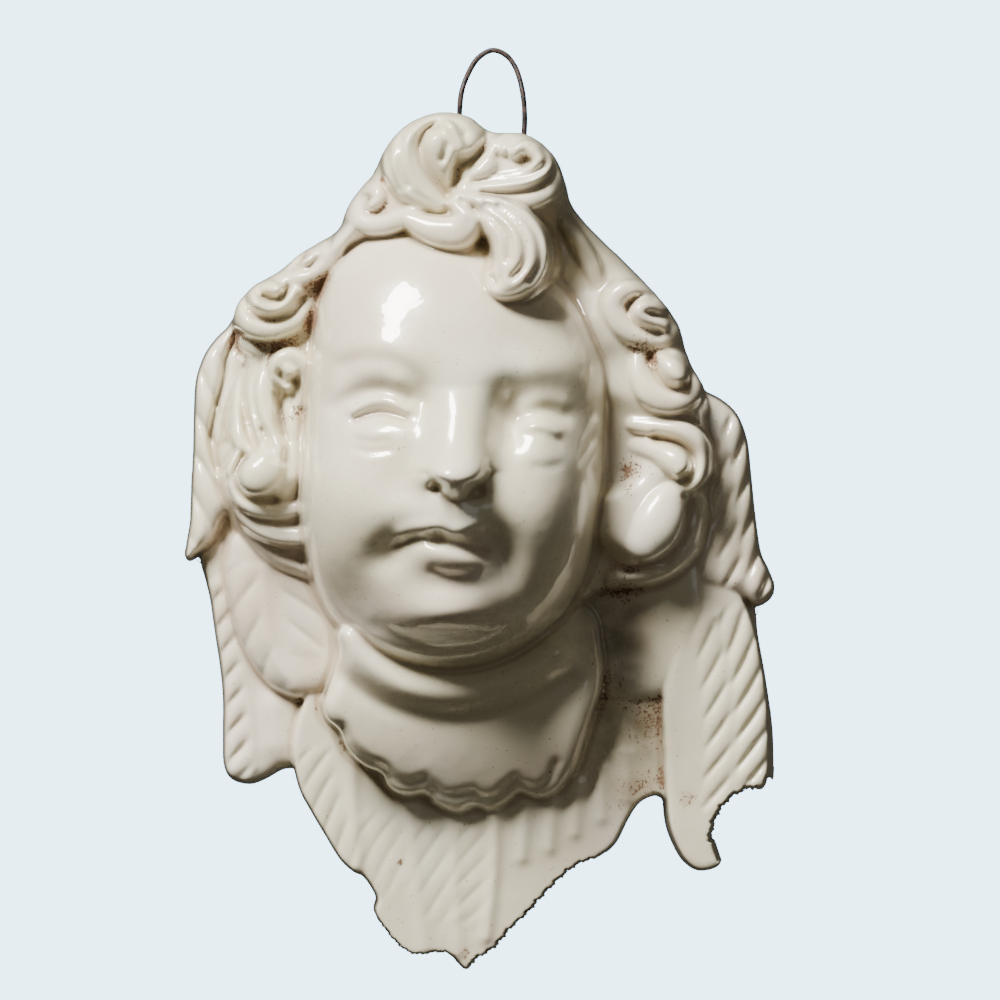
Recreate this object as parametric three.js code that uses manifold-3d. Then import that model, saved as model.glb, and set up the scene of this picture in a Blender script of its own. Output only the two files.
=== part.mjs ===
// Cherub wall plaque: a glazed hollow casting of a child's head between feathered wings,
// hung by a loop of iron wire. Millimetres, +Z up, the front faces -Y, the wall is the plane y = 0.
// The origin is on the wall plane under the crown of the wire loop, where the nail bears.
import * as THREE from 'three';
import Module from 'manifold-3d';

const wasm = await Module();
wasm.setup();

// Main sizes
const PLAQUE_HEIGHT = 320;
const DRAWING_HEIGHT = 865;
const WALL = 6.5;
const WALL_REACH = 8.5;
const HOLLOW_SHOULDER = 95;
const WIRE_DIAMETER = 2;
const HOLE_CLEARANCE = 0.3;
const LEG_DEPTH = 7;
const CROWN_DEPTH = 2.2;
const GRID_STEP = 1;
const GLAZE_FILL = 0.8;
const FRONT_TRIANGLES = 7000;

// The drawing is measured in units right of and down from the nail
const UNIT = PLAQUE_HEIGHT / DRAWING_HEIGHT;
const NAIL_RIGHT = 492;
const NAIL_DOWN = 47;
const FIELD_LEFT = 170;
const FIELD_RIGHT = 790;
const FIELD_TOP = 98;
const FIELD_BOTTOM = 990;
const FLOOR = -40;
const LEAST_FIELD = -8;

// Locks: share of the half width by which the edge falls, slope of the sides beyond it, reach of the
// sides in drawing units, depth of the strand grooves in mm and how soon they fade towards the tip
const LOCK_ROUND = 0.85;
const LOCK_SIDE = 9;
const LOCK_SKIRT = 18;
const STRAND_GROOVE = 1.3;
const STRAND_FADE = 1.4;
const LOCK_BLEND = 0.8;

// Hair between the locks: width and fall of its rounded outer edge, depth where no lock is near, crowns
// above this belong to the forehead, reach in drawing units, depth below the crowns, clearing of the face
const HAIR_EDGE = 7;
const HAIR_FALL = 20;
const HAIR_SIDE = 60;
const HAIR_DRAFT = 0.6;
const BED_DEPTH = 44;
const BED_HIGHEST = 75;
const BED_REACH = 15;
const BED_SINK = 3.5;
const FACE_CLEARING = 250;

// Plates: fall of the edge as a share of its rounding, blend with what lies behind, least side in mm,
// reach beyond the outline in drawing units
const PLATE_FALL = 0.8;
const PLATE_BLEND = 0.5;
const PLATE_SIDE = 4;
const OUTLINE_MARGIN = 12;
const BARB_MIDDLE = 0.75;
const BARB_END = 10;

// Thinning of the skin: pull of the outline, least slope of a facet towards the front, least turn
// allowed, cost of a join's length, least mass of a point's planes
const OUTLINE_WEIGHT = 12;
const LEAST_FACING = 0.01;
const LEAST_TURN = 0.2;
const SPAN_COST = 1e-6;
const LEAST_SPREAD = 1e-4;
const LEAST_DEPTH = 0.3;

// Hollow and wire: run of the cutter behind the wall plane, its rings and sides, sides of the wire
const HOLLOW_OVERRUN = 4;
const HOLLOW_RINGS = 13;
const HOLLOW_SIDES = 36;
const WIRE_HALF_SIDES = 5;
const WIRE_STEPS = 46;

// Outlines: right and down in drawing units, clockwise from the top
const BACKING = [
  [300, 500], [620, 500], [715, 550], [742, 640], [735, 740], [700, 795], [662, 798], [620, 815],
  [480, 900], [345, 800], [300, 772], [287, 762], [268, 745], [240, 660], [216, 560], [211, 520],
  [240, 490]
];
const HAIR_MASS = [
  [446, 111], [470, 116], [484, 126], [500, 131], [522, 132], [541, 141], [556, 156], [564, 176],
  [571, 200], [583, 217], [601, 236], [621, 255], [641, 275], [662, 298], [678, 319], [685, 340],
  [692, 362], [707, 390], [716, 430], [716, 480], [712, 530], [698, 565], [660, 592], [600, 600],
  [560, 640], [450, 660], [350, 630], [312, 590], [268, 572], [236, 540], [220, 500], [214, 462],
  [224, 415], [236, 368], [231, 325], [235, 303], [252, 284], [276, 270], [298, 252], [321, 238],
  [338, 225], [349, 200], [371, 172], [384, 148], [402, 127], [424, 115]
];
const LEFT_UPPER_WING = [
  [236, 320], [222, 327], [209, 340], [199, 356], [192, 378], [190, 405], [189, 450], [187, 490],
  [186, 520], [182, 545], [181, 557], [186, 562], [198, 554], [212, 540], [222, 522], [238, 500],
  [250, 420]
];
const LEFT_LOWER_WING = [
  [196, 552], [202, 583], [206, 600], [211, 635], [216, 668], [219, 700], [219, 740], [220, 768],
  [228, 783], [246, 788], [262, 783], [280, 773], [297, 768], [316, 735], [318, 690], [280, 620],
  [240, 550], [215, 530]
];
const LEFT_COVERT = [
  [232, 530], [221, 560], [222, 592], [229, 625], [241, 656], [262, 686], [290, 702], [317, 700],
  [343, 688], [372, 665], [372, 620], [330, 560], [270, 530]
];
const TAIL = [
  [300, 704], [291, 735], [290, 762], [297, 793], [309, 816], [322, 838], [338, 864], [352, 877],
  [362, 882], [374, 901], [372, 914], [379, 931], [396, 952], [414, 962], [436, 960], [450, 962],
  [465, 976], [481, 965], [497, 955], [513, 936], [532, 918], [552, 896], [575, 875], [600, 862],
  [617, 848], [630, 823], [641, 807], [656, 799], [676, 796], [690, 690], [560, 680], [450, 680],
  [318, 672]
];
const RIGHT_UPPER_WING = [
  [690, 380], [706, 389], [724, 398], [740, 413], [750, 438], [754, 470], [758, 510], [764, 552],
  [772, 570], [778, 588], [773, 601], [758, 608], [742, 600], [712, 592], [688, 570], [680, 480]
];
const RIGHT_BACK_WING = [
  [742, 570], [757, 602], [762, 642], [768, 676], [774, 712], [777, 745], [776, 791], [765, 793],
  [750, 780], [735, 700], [728, 630]
];
const RIGHT_LONG_FEATHER = [
  [706, 564], [738, 586], [756, 622], [765, 660], [771, 700], [773, 745], [772, 778], [766, 793],
  [748, 797], [731, 809], [720, 828], [719, 846], [724, 865], [716, 873], [700, 875], [686, 866],
  [676, 850], [668, 828], [665, 798], [663, 750], [662, 700], [672, 650], [690, 600]
];
const RIGHT_COVERT = [
  [600, 560], [664, 548], [706, 554], [715, 602], [706, 645], [692, 680], [664, 703], [630, 705],
  [595, 700], [566, 670], [560, 620], [580, 580]
];
const CHEST = [
  [345, 620], [336, 655], [326, 685], [320, 704], [324, 720], [337, 733], [342, 746], [351, 759],
  [364, 770], [379, 777], [384, 788], [394, 797], [408, 801], [425, 800], [431, 808], [445, 815],
  [461, 818], [475, 813], [487, 816], [502, 813], [514, 804], [521, 798], [533, 803], [548, 803],
  [561, 796], [571, 782], [580, 768], [588, 742], [596, 715], [604, 690], [604, 650], [580, 600],
  [450, 590]
];
const LOCKS = [
  // lower left, two bands
  { strands: 2, spine: [[222, 500, 7, 34], [232, 526, 9, 36], [252, 549, 10, 38], [280, 564, 10, 40],
    [308, 575, 9, 42]] },
  { strands: 2, spine: [[234, 494, 7, 40], [248, 519, 9, 42], [274, 533, 10, 44], [306, 536, 10, 46]] },
  // lower right bands
  { strands: 3, spine: [[696, 490, 9, 40], [702, 520, 12, 42], [692, 550, 14, 42], [662, 571, 14, 42],
    [616, 580, 12, 42]] },
  // outer band right
  { strands: 1, spine: [[700, 428, 7, 34], [716, 448, 8, 36], [721, 474, 9, 37], [712, 496, 8, 38]] },
  // side left
  { strands: 1, spine: [[228, 396, 7, 34], [219, 424, 8, 36], [215, 446, 8, 37], [223, 462, 7, 38]] },
  { strands: 1, spine: [[238, 364, 8, 36], [234, 398, 11, 40], [236, 426, 11, 43], [246, 450, 9, 46]] },
  // under curl left
  { strands: 1, spine: [[300, 331, 7, 42], [285, 345, 8, 42], [262, 350, 8, 41], [242, 341, 7, 39],
    [232, 326, 6, 36]] },
  // big curl left
  { strands: 1, spine: [[306, 300, 8, 46], [293, 320, 12, 50], [267, 328, 13, 52], [244, 318, 12, 51],
    [238, 301, 10, 50], [250, 287, 9, 50], [266, 278, 9, 50], [282, 279, 8, 50]] },
  { strands: 1, spine: [[297, 292, 7, 51], [286, 307, 9, 54], [268, 310, 9, 55], [254, 301, 8, 55],
    [256, 290, 7, 54], [268, 286, 7, 54], [277, 290, 6, 55]] },
  // small curl left
  { strands: 1, spine: [[314, 241, 7, 50], [326, 250, 8, 52], [322, 267, 9, 52], [304, 278, 9, 51],
    [288, 277, 8, 49], [284, 267, 7, 48], [294, 252, 7, 49], [307, 248, 6, 51], [314, 257, 6, 52],
    [304, 264, 5, 52]] },
  // hairline left
  { strands: 1, spine: [[356, 226, 7, 58], [342, 240, 8, 56], [333, 262, 7, 52], [326, 284, 6, 48]] },
  // falls left
  { strands: 2, spine: [[270, 360, 11, 44], [262, 390, 16, 48], [266, 420, 16, 51],
    [272, 452, 13, 54]] },
  { strands: 1, spine: [[296, 398, 8, 44], [292, 424, 11, 47], [284, 452, 9, 50]] },
  // ear curl left
  { strands: 1, spine: [[300, 404, 6, 46], [307, 385, 8, 48], [304, 367, 9, 50], [291, 357, 9, 51],
    [279, 362, 8, 51], [277, 375, 7, 50], [287, 384, 6, 50]] },
  { strands: 1, spine: [[287, 369, 7, 52], [290, 372, 7, 52]] },
  // low curl left
  { strands: 1, spine: [[240, 456, 6, 46], [231, 474, 7, 47], [236, 492, 8, 47], [250, 505, 9, 48],
    [274, 511, 9, 48], [298, 508, 8, 48]] },
  { strands: 1, spine: [[276, 446, 12, 54], [268, 466, 18, 58], [260, 476, 21, 59],
    [255, 478, 18, 58]] },
  // back strands
  { strands: 2, spine: [[566, 208, 9, 48], [590, 234, 12, 45], [614, 258, 12, 43], [640, 284, 9, 41]] },
  { strands: 1, spine: [[566, 222, 7, 52], [580, 244, 9, 50], [592, 266, 9, 48], [600, 290, 7, 46]] },
  // curl right 1
  { strands: 1, spine: [[658, 300, 9, 50], [640, 291, 10, 54], [621, 293, 11, 55], [613, 308, 12, 55],
    [624, 327, 13, 55], [646, 337, 13, 54], [668, 337, 11, 51], [680, 331, 7, 47]] },
  { strands: 1, spine: [[660, 306, 8, 54], [646, 304, 8, 57], [637, 313, 8, 58], [646, 323, 8, 57],
    [662, 326, 7, 54]] },
  // curl right 2
  { strands: 1, spine: [[638, 352, 8, 50], [639, 375, 11, 53], [650, 394, 13, 55], [671, 402, 13, 55],
    [689, 395, 11, 53], [695, 380, 10, 51], [688, 366, 9, 51], [674, 360, 8, 53]] },
  { strands: 1, spine: [[662, 364, 11, 56], [673, 373, 14, 59], [678, 378, 10, 59]] },
  // curl right 3
  { strands: 1, spine: [[634, 424, 8, 48], [658, 428, 10, 51], [684, 434, 12, 53], [701, 450, 12, 52],
    [702, 468, 12, 52], [690, 484, 9, 52]] },
  { strands: 1, spine: [[636, 446, 9, 46], [656, 450, 12, 51], [674, 460, 14, 56],
    [680, 468, 11, 57]] },
  // ball right
  { strands: 1, spine: [[678, 488, 13, 50], [664, 507, 22, 54], [655, 526, 26, 56],
    [646, 540, 22, 55]] },
  // top left beside the crown
  { strands: 2, spine: [[404, 204, 9, 62], [392, 184, 11, 58], [385, 165, 9, 54]] },
  { strands: 1, spine: [[420, 210, 8, 68], [400, 222, 10, 67], [377, 227, 10, 63], [358, 220, 10, 59],
    [350, 205, 9, 56], [358, 191, 8, 56], [372, 189, 8, 59], [380, 199, 7, 61], [373, 207, 5, 61]] },
  // crown curl left
  { strands: 3, spine: [[438, 204, 10, 70], [414, 186, 20, 71], [404, 160, 22, 71],
    [413, 134, 19, 70], [438, 121, 13, 69], [462, 123, 12, 69], [474, 138, 12, 69],
    [466, 153, 10, 71]] },
  { strands: 1, spine: [[452, 194, 6, 68], [438, 174, 10, 71], [431, 154, 11, 73], [436, 137, 9, 73],
    [448, 132, 8, 73], [456, 143, 7, 73], [460, 151, 6, 73]] },
  { strands: 1, spine: [[453, 190, 6, 68], [447, 170, 9, 71], [447, 153, 9, 73]] },
  // crown curl right
  { strands: 1, spine: [[474, 186, 8, 70], [486, 168, 12, 69], [496, 150, 12, 67]] },
  { strands: 1, spine: [[458, 200, 8, 72], [486, 204, 11, 72], [516, 203, 13, 71], [543, 194, 13, 69],
    [557, 177, 12, 67], [556, 159, 11, 66], [545, 146, 10, 66], [527, 138, 9, 67], [510, 139, 9, 68],
    [502, 150, 8, 69]] },
  { strands: 1, spine: [[464, 190, 7, 70], [500, 187, 10, 72], [527, 182, 10, 73], [542, 169, 10, 73],
    [539, 156, 9, 72], [526, 150, 8, 72], [515, 155, 6, 71]] },
  // fore left
  { strands: 2, spine: [[458, 204, 10, 76], [470, 220, 15, 80], [460, 235, 17, 80],
    [436, 235, 14, 78], [410, 223, 8, 73]] },
  // forelock
  { strands: 4, spine: [[464, 205, 8, 76], [490, 215, 17, 81], [513, 234, 25, 85], [521, 257, 28, 87],
    [516, 278, 23, 87], [503, 287, 15, 86], [494, 280, 8, 84]] },
];

// Face: edge radius in drawing units every 30 degrees, counted from the right and upwards
const FACE_CENTRE = [455, 440];
const FACE_RADII = [150, 170, 192, 222, 220, 168, 153, 178, 221, 232, 208, 166];
const FACE_EDGE = 40;
const FACE_RISE = 53;
const FACE_POWER = 2.25;
const FACE_SIDE = 400;
const FACE_OUTER = 1.15;
const FORMS_END = 1.03;
const FORMS_FADE = 0.12;
const FACE_BLEND = 1.2;
const NOSE_ROOT = [461, 388];
const NOSE_TIP = [459, 478];
const NOSE_RISE = 14;
const NOSE_LIFT = 1.1;
const NOSE_UNDER = 22;
const NOSE_ROUND = 18;
const NOSE_HALF = 19;
const NOSE_SPREAD = 6;
const NOSE_POWER = 2.9;

// Soft forms of the face: centre, half widths across and down, tilt in degrees, rise in mm
const FACE_FORMS = [
  // eye sockets and the two sides of the nose root
  [384, 404, 34, 20, -4, -5], [546, 412, 32, 20, -4, -5.5], [424, 402, 13, 17, 0, -3.5],
  [509, 421, 14, 27, 0, -7.5],
  // brow swellings
  [372, 352, 34, 12, -6, 1.5], [552, 368, 32, 12, -4, 2.2],
  // cheeks, upper lip, chin and the corners of the mouth
  [344, 498, 36, 44, 0, 6.5], [558, 506, 32, 44, 0, 6.5], [440, 515, 40, 17, -4, 6],
  [438, 600, 46, 20, 0, 5], [446, 618, 37, 13, 0, 6.5], [345, 602, 28, 24, 0, -4],
  [393, 550, 18, 12, 32, -5], [500, 552, 13, 20, 15, -6.5],
  // the lids and the swellings under the eyes
  [380, 430, 27, 14, -3, 2], [541, 429, 19, 11, -8, 3.2], [540, 456, 26, 10, -8, 1.6],
];
const NOSE_FORMS = [
  // nose tip and wings, nostrils, groove under the nose and lower lip
  [453, 473, 17, 13, 0, 4], [429, 477, 10, 10, 0, 5], [492, 478, 9, 10, 0, 3],
  [439, 487, 6, 4, 15, -4], [477, 492, 7, 5, -10, -5], [451, 509, 5, 9, 5, -1],
  [446, 554, 27, 10, -9, 6.5], [462, 574, 24, 7, 3, -2],
];

// Raised and sunk lines of the face: half width in drawing units, rise in mm, points along the line
const FACE_LINES = [
  // folds between brow and lid
  { width: 6, rise: -1, line: [[345, 366], [362, 360], [386, 361], [408, 370], [422, 384],
    [425, 400]] },
  { width: 8, rise: 1.2, line: [[340, 388], [358, 378], [378, 376], [396, 382]] },
  { width: 7, rise: 1.3, line: [[526, 406], [544, 401], [562, 404]] },
  { width: 5.5, rise: -1.3, line: [[336, 408], [350, 400], [370, 392], [390, 392], [408, 400]] },
  { width: 4.5, rise: -1.6, line: [[520, 420], [533, 414], [547, 412], [562, 417]] },
  // upper lids and the slits under them
  { width: 5, rise: 2.4, line: [[354, 411], [366, 404], [382, 401], [398, 405], [408, 411]] },
  { width: 4.4, rise: 1.4, line: [[528, 427], [541, 425], [556, 432]] },
  { width: 3.6, rise: -3, line: [[358, 420], [368, 416.5], [381, 414], [394, 415.5], [406, 419]] },
  { width: 3.6, rise: -1.4, line: [[530, 434], [541, 435], [551, 438], [557, 440]] },
  // folds under the eyes
  { width: 2.6, rise: -0.8, line: [[358, 440], [372, 443], [390, 442]] },
  { width: 3, rise: -0.9, line: [[358, 449], [372, 452], [392, 450]] },
  { width: 4, rise: -0.8, line: [[536, 467], [547, 468], [558, 465]] },
  // upper lip, the line of the mouth and the hollow under the lower lip
  { width: 4.4, rise: 2.8, line: [[404, 533], [414, 529], [428, 527], [441, 527], [454, 531],
    [467, 527], [479, 522]] },
  { width: 4, rise: -2.2, line: [[400, 545], [410, 540], [424, 537.5], [440, 538]] },
  { width: 4.4, rise: -3, line: [[438, 537.5], [448, 540], [460, 544], [473, 548.5], [485, 552]] },
  { width: 4, rise: -1.2, line: [[438, 567], [448, 570], [460, 571], [476, 567]] },
  // crease and roll under the chin
  { width: 6, rise: -1, line: [[380, 625], [407, 638], [445, 645], [485, 640], [516, 624]] },
  { width: 8, rise: 1.2, line: [[372, 640], [412, 656], [450, 662], [490, 657], [532, 636]] },
];

// Parts of the relief from the back to the front: crown depth in mm, its change per drawing unit
// right and down of a point, rounding of the edge in mm, slope of the side in mm, feather barbs and quills
const WINGS = [
  { outline: BACKING, depth: 17, rim: 4, draft: 2 },
  { outline: RIGHT_BACK_WING, depth: 18, rim: 3, draft: 1.4 },
  { outline: LEFT_LOWER_WING, depth: 17, right: 0.02, from: [240, 700], rim: 5, draft: 1.4,
    barbs: [
      { half: 15, slant: 0.9, pitch: 26, rise: 3, spine: [[208, 575], [216, 620], [226, 680],
        [232, 730], [238, 782]] },
    ],
    quills: [
      { width: 4, rise: 1.2, line: [[224, 590], [236, 650], [246, 700], [250, 768]] },
      { width: 13, rise: 2.5, line: [[272, 712], [272, 745]] },
    ] },
  { outline: LEFT_UPPER_WING, depth: 24, right: 0.03, from: [205, 450], rim: 7, draft: 1.4,
    barbs: [
      { half: 18, slant: -1.5, pitch: 42, rise: 3.4, spine: [[216, 345], [205, 385], [202, 430],
        [203, 480], [196, 548]] },
    ] },
  { outline: RIGHT_UPPER_WING, depth: 32, right: -0.05, from: [735, 480], rim: 8, draft: 1.4,
    barbs: [
      { half: 17, slant: 1.5, pitch: 36, rise: 4, spine: [[734, 410], [744, 450], [752, 500],
        [760, 550], [768, 600]] },
      { half: 13, slant: 1.4, pitch: 34, rise: 3, spine: [[716, 440], [722, 480], [728, 530],
        [734, 590]] },
    ] },
  { outline: TAIL, depth: 22, down: -0.02, from: [470, 860], rim: 2.6, draft: 0.8,
    barbs: [
      { half: 19, slant: 1.1, pitch: 26, rise: 1.2, spine: [[312, 745], [318, 790], [334, 835],
        [352, 872]] },
      { half: 26, slant: 1.1, pitch: 25, rise: 0.6, spine: [[378, 812], [382, 850], [396, 900]] },
      { half: 22, slant: 1.1, pitch: 25, rise: 0.6, spine: [[430, 822], [436, 870], [446, 930]] },
      { half: 20, slant: 1.2, pitch: 25, rise: 0.6, spine: [[475, 822], [474, 870], [468, 930]] },
    ],
    quills: [
      { width: 5, rise: 1.2, line: [[352, 735], [352, 800], [356, 868]] },
      { width: 6, rise: 0.9, line: [[408, 805], [414, 870], [424, 950]] },
      { width: 5, rise: 0.7, line: [[452, 815], [455, 880], [458, 955]] },
      { width: 5, rise: 1.5, line: [[494, 805], [494, 870], [486, 940]] },
      { width: 5, rise: 1.2, line: [[526, 800], [522, 860]] },
      { width: 5, rise: 1.2, line: [[553, 795], [550, 850]] },
      { width: 5, rise: 1.2, line: [[578, 785], [575, 835]] },
      { width: 5, rise: 1.2, line: [[602, 770], [602, 820]] },
      { width: 5, rise: 1.2, line: [[626, 755], [628, 800]] },
    ] },
  { outline: RIGHT_LONG_FEATHER, depth: 31, right: -0.03, from: [700, 700], rim: 5, draft: 1.2,
    barbs: [
      { half: 17, slant: 1.3, pitch: 30, rise: 2.8, spine: [[728, 605], [744, 655], [752, 715],
        [752, 790]] },
      { half: 15, slant: 1.3, pitch: 31, rise: 1.9, spine: [[702, 610], [714, 670], [720, 740],
        [716, 820]] },
    ] },
  { outline: LEFT_COVERT, depth: 29, right: 0.05, down: -0.02, from: [280, 620], rim: 10, draft: 1,
    barbs: [
      { half: 19, slant: 1.1, pitch: 39, rise: 1.8, spine: [[238, 560], [242, 610], [256, 660],
        [276, 700]] },
      { half: 18, slant: -1, pitch: 34, rise: 1.5, spine: [[292, 570], [302, 610], [308, 660]] },
    ],
    quills: [
      { width: 5, rise: 0.9, line: [[262, 570], [268, 640], [290, 690]] },
    ] },
  { outline: RIGHT_COVERT, depth: 31, right: 0.02, down: -0.02, from: [640, 630], rim: 9, draft: 1 },
];
const NECK_ROLL = { width: 15, rise: 9, line: [[346, 630], [368, 660], [400, 681], [440, 690],
  [480, 688], [520, 676], [556, 652]] };
const NECK_FOLD = { width: 7, rise: -1.5, line: [[336, 672], [380, 702], [430, 716], [470, 716],
  [520, 706], [570, 676]] };

// Bust: depth at its middle, change per unit right, how far down it has fallen by how much, share above
const BUST_MIDDLE = [430, 700];
const BUST_DEPTH = 46;
const BUST_RIGHT = -0.03;
const BUST_SPAN = 90;
const BUST_FALL = 10;
const BUST_ABOVE = 0.2;
const BUST_RIM = 7;
const BUST_DRAFT = 0.8;
const BUST_EDGE_FALL = 1.1;
const BUST_BLEND = 2;

// Furrows that part the locks of hair and fold the bust's rim: half width in drawing units, rise in mm,
// points along the line
const FURROWS = [
  // crown, left and right of the parting
  { width: 3.2, rise: -4.5, line: [[449, 197], [437, 182], [427, 163], [423, 147], [428, 135],
    [440, 128]] },
  { width: 2.4, rise: -2.5, line: [[451, 124], [459, 133], [458, 146]] },
  { width: 4.5, rise: -5, line: [[486, 138], [482, 151], [470, 161], [458, 170], [454, 184]] },
  { width: 2, rise: -1.6, line: [[438, 160], [443, 176], [449, 191]] },
  { width: 2.2, rise: -2, line: [[388, 150], [390, 170], [399, 192]] },
  { width: 2.2, rise: -2, line: [[402, 142], [402, 165], [409, 188]] },
  { width: 3, rise: -3.5, line: [[472, 184], [505, 181], [532, 176], [547, 164], [544, 150]] },
  { width: 2.6, rise: -3, line: [[484, 196], [515, 194], [540, 187], [554, 174]] },
  { width: 4, rise: -4, line: [[522, 160], [524, 156]] },
  { width: 2.4, rise: -2.5, line: [[498, 160], [499, 147], [507, 141]] },
  // forelock
  { width: 2.4, rise: -2.5, line: [[474, 210], [494, 222], [507, 240], [508, 262]] },
  { width: 2.4, rise: -2.5, line: [[486, 208], [508, 220], [523, 240], [525, 265], [512, 280]] },
  { width: 2.2, rise: -2.5, line: [[500, 208], [522, 220], [537, 240], [540, 266], [530, 284]] },
  { width: 4, rise: -5, line: [[491, 279], [495, 284]] },
  { width: 3, rise: -3.5, line: [[462, 203], [478, 216], [482, 232], [478, 246]] },
  // curls right
  { width: 3, rise: -4.5, line: [[652, 299], [636, 299], [629, 311], [638, 325], [658, 333]] },
  { width: 3.4, rise: -4.5, line: [[652, 360], [660, 376], [674, 388], [688, 384], [692, 373]] },
  { width: 3.4, rise: -4.5, line: [[656, 438], [678, 443], [692, 455], [692, 470], [684, 479]] },
  { width: 2.2, rise: -2.5, line: [[684, 496], [690, 520], [682, 544], [660, 562], [628, 570]] },
  { width: 2.2, rise: -2, line: [[692, 500], [697, 524], [688, 550], [664, 568]] },
  // curls left
  { width: 3.2, rise: -4.5, line: [[246, 300], [252, 312], [270, 319], [289, 313], [300, 299]] },
  { width: 2.4, rise: -3, line: [[258, 291], [264, 300], [277, 302], [287, 293]] },
  { width: 2.8, rise: -3, line: [[280, 374], [285, 384], [293, 381]] },
  { width: 2.6, rise: -3, line: [[299, 262], [306, 268], [318, 259]] },
  { width: 2.4, rise: -3, line: [[243, 366], [243, 400], [249, 428], [258, 446]] },
  { width: 2.4, rise: -2.5, line: [[263, 430], [272, 446], [276, 458]] },
  { width: 2.4, rise: -3, line: [[284, 396], [278, 420], [284, 440]] },
  { width: 3, rise: -4, line: [[243, 456], [237, 474], [241, 490], [254, 499], [274, 500]] },
  // left wing against the hair, and the falls beside it
  { width: 2.6, rise: -4.5, line: [[236, 332], [226, 352], [221, 380], [213, 412], [209, 440],
    [214, 464], [224, 480]] },
  { width: 2.2, rise: -3, line: [[246, 356], [240, 380], [240, 404], [247, 428], [254, 446]] },
  { width: 2.2, rise: -3, line: [[260, 360], [253, 382], [254, 406], [262, 430], [268, 450]] },
  { width: 2.2, rise: -3, line: [[276, 394], [281, 418], [287, 440], [284, 462]] },
  // folds of the bust's rim
  { width: 4, rise: -1.8, line: [[342, 728], [352, 746], [364, 759], [380, 767]] },
  { width: 4, rise: -1.8, line: [[386, 772], [396, 781], [410, 784], [424, 780]] },
  { width: 4, rise: -1.8, line: [[432, 787], [444, 796], [458, 797], [473, 793]] },
  { width: 4, rise: -1.8, line: [[480, 799], [494, 799], [506, 789], [516, 780]] },
  { width: 4, rise: -1.6, line: [[524, 786], [538, 789], [550, 780], [556, 764]] },
];

// Hollow back: edge radius in drawing units every 30 degrees, counted from the right and upwards
const HOLLOW_CENTRE = [460, 450];
const HOLLOW_RADII = [250, 220, 218, 298, 212, 226, 232, 250, 315, 430, 340, 295];

// Wire loop: right and down in drawing units, from the bent end inside the left hole over the crown
// to the bent end inside the right one
const LOOP = [[438, 181], [450, 179], [458, 168], [459, 140], [459, 110], [461, 88], [467, 70], [477, 53],
  [492, 44.3], [507, 50], [517, 65], [523, 88], [525, 112], [524, 140], [524, 178], [528, 192], [536, 196]];
const LEG_START = 104;

const toRight = (u) => (u - NAIL_RIGHT) * UNIT;
const toUp = (v) => (NAIL_DOWN - v) * UNIT;
const clamp01 = (t) => Math.min(1, Math.max(0, t));

function smoothMax(a, b, k) {
  const h = clamp01(0.5 + (0.5 * (a - b)) / k);
  return b + (a - b) * h + k * h * (1 - h);
}

// Catmull-Rom curve through rows of numbers
function curve(rows, closed, steps) {
  const n = rows.length;
  const out = [];
  const pick = (i) => (closed ? rows[(i + n) % n] : rows[Math.min(n - 1, Math.max(0, i))]);
  const spans = closed ? n : n - 1;
  for (let i = 0; i < spans; i++) {
    const [a, b, c, d] = [pick(i - 1), pick(i), pick(i + 1), pick(i + 2)];
    for (let s = 0; s < steps; s++) {
      const t = s / steps;
      out.push(b.map((_, k) => b[k] + 0.5 * ((c[k] - a[k]) * t
        + (2 * a[k] - 5 * b[k] + 4 * c[k] - d[k]) * t * t
        + (3 * b[k] - a[k] - 3 * c[k] + d[k]) * t * t * t)));
    }
  }
  if (!closed) {
    out.push(rows[n - 1].slice());
  }
  return out;
}

// Depth field over the wall plane; columns run right and rows run up
const COLUMNS = Math.ceil(((FIELD_RIGHT - FIELD_LEFT) * UNIT) / GRID_STEP) + 1;
const ROWS = Math.ceil(((FIELD_BOTTOM - FIELD_TOP) * UNIT) / GRID_STEP) + 1;
const STEP_UNITS = GRID_STEP / UNIT;
const field = new Float64Array(COLUMNS * ROWS).fill(FLOOR);
const limit = new Float64Array(COLUMNS * ROWS).fill(FLOOR);
const fall = new Float64Array(COLUMNS * ROWS);
const unitRight = (i) => FIELD_LEFT + i * STEP_UNITS;
const unitDown = (j) => FIELD_BOTTOM - j * STEP_UNITS;

// Calls visit(index, u, v) for the grid points near a row of points
function eachNear(points, margin, visit) {
  const us = points.map((p) => p[0]);
  const vs = points.map((p) => p[1]);
  const i0 = Math.max(0, Math.floor((Math.min(...us) - margin - FIELD_LEFT) / STEP_UNITS));
  const i1 = Math.min(COLUMNS - 1, Math.ceil((Math.max(...us) + margin - FIELD_LEFT) / STEP_UNITS));
  const j0 = Math.max(0, Math.floor((FIELD_BOTTOM - Math.max(...vs) - margin) / STEP_UNITS));
  const j1 = Math.min(ROWS - 1, Math.ceil((FIELD_BOTTOM - Math.min(...vs) + margin) / STEP_UNITS));
  for (let j = j0; j <= j1; j++) {
    for (let i = i0; i <= i1; i++) {
      visit(j * COLUMNS + i, unitRight(i), unitDown(j));
    }
  }
}

// Distance in drawing units from a point to a closed outline, positive inside
function insideBy(points, u, v) {
  let best = Infinity;
  let inside = false;
  const n = points.length;
  for (let i = 0; i < n; i++) {
    const [ax, ay] = points[i];
    const [bx, by] = points[(i + 1) % n];
    const dx = bx - ax;
    const dy = by - ay;
    const t = clamp01(((u - ax) * dx + (v - ay) * dy) / (dx * dx + dy * dy + 1e-12));
    best = Math.min(best, (u - ax - t * dx) ** 2 + (v - ay - t * dy) ** 2);
    if (ay > v !== by > v && u < ax + (dx * (v - ay)) / dy) {
      inside = !inside;
    }
  }
  return inside ? Math.sqrt(best) : -Math.sqrt(best);
}

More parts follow.
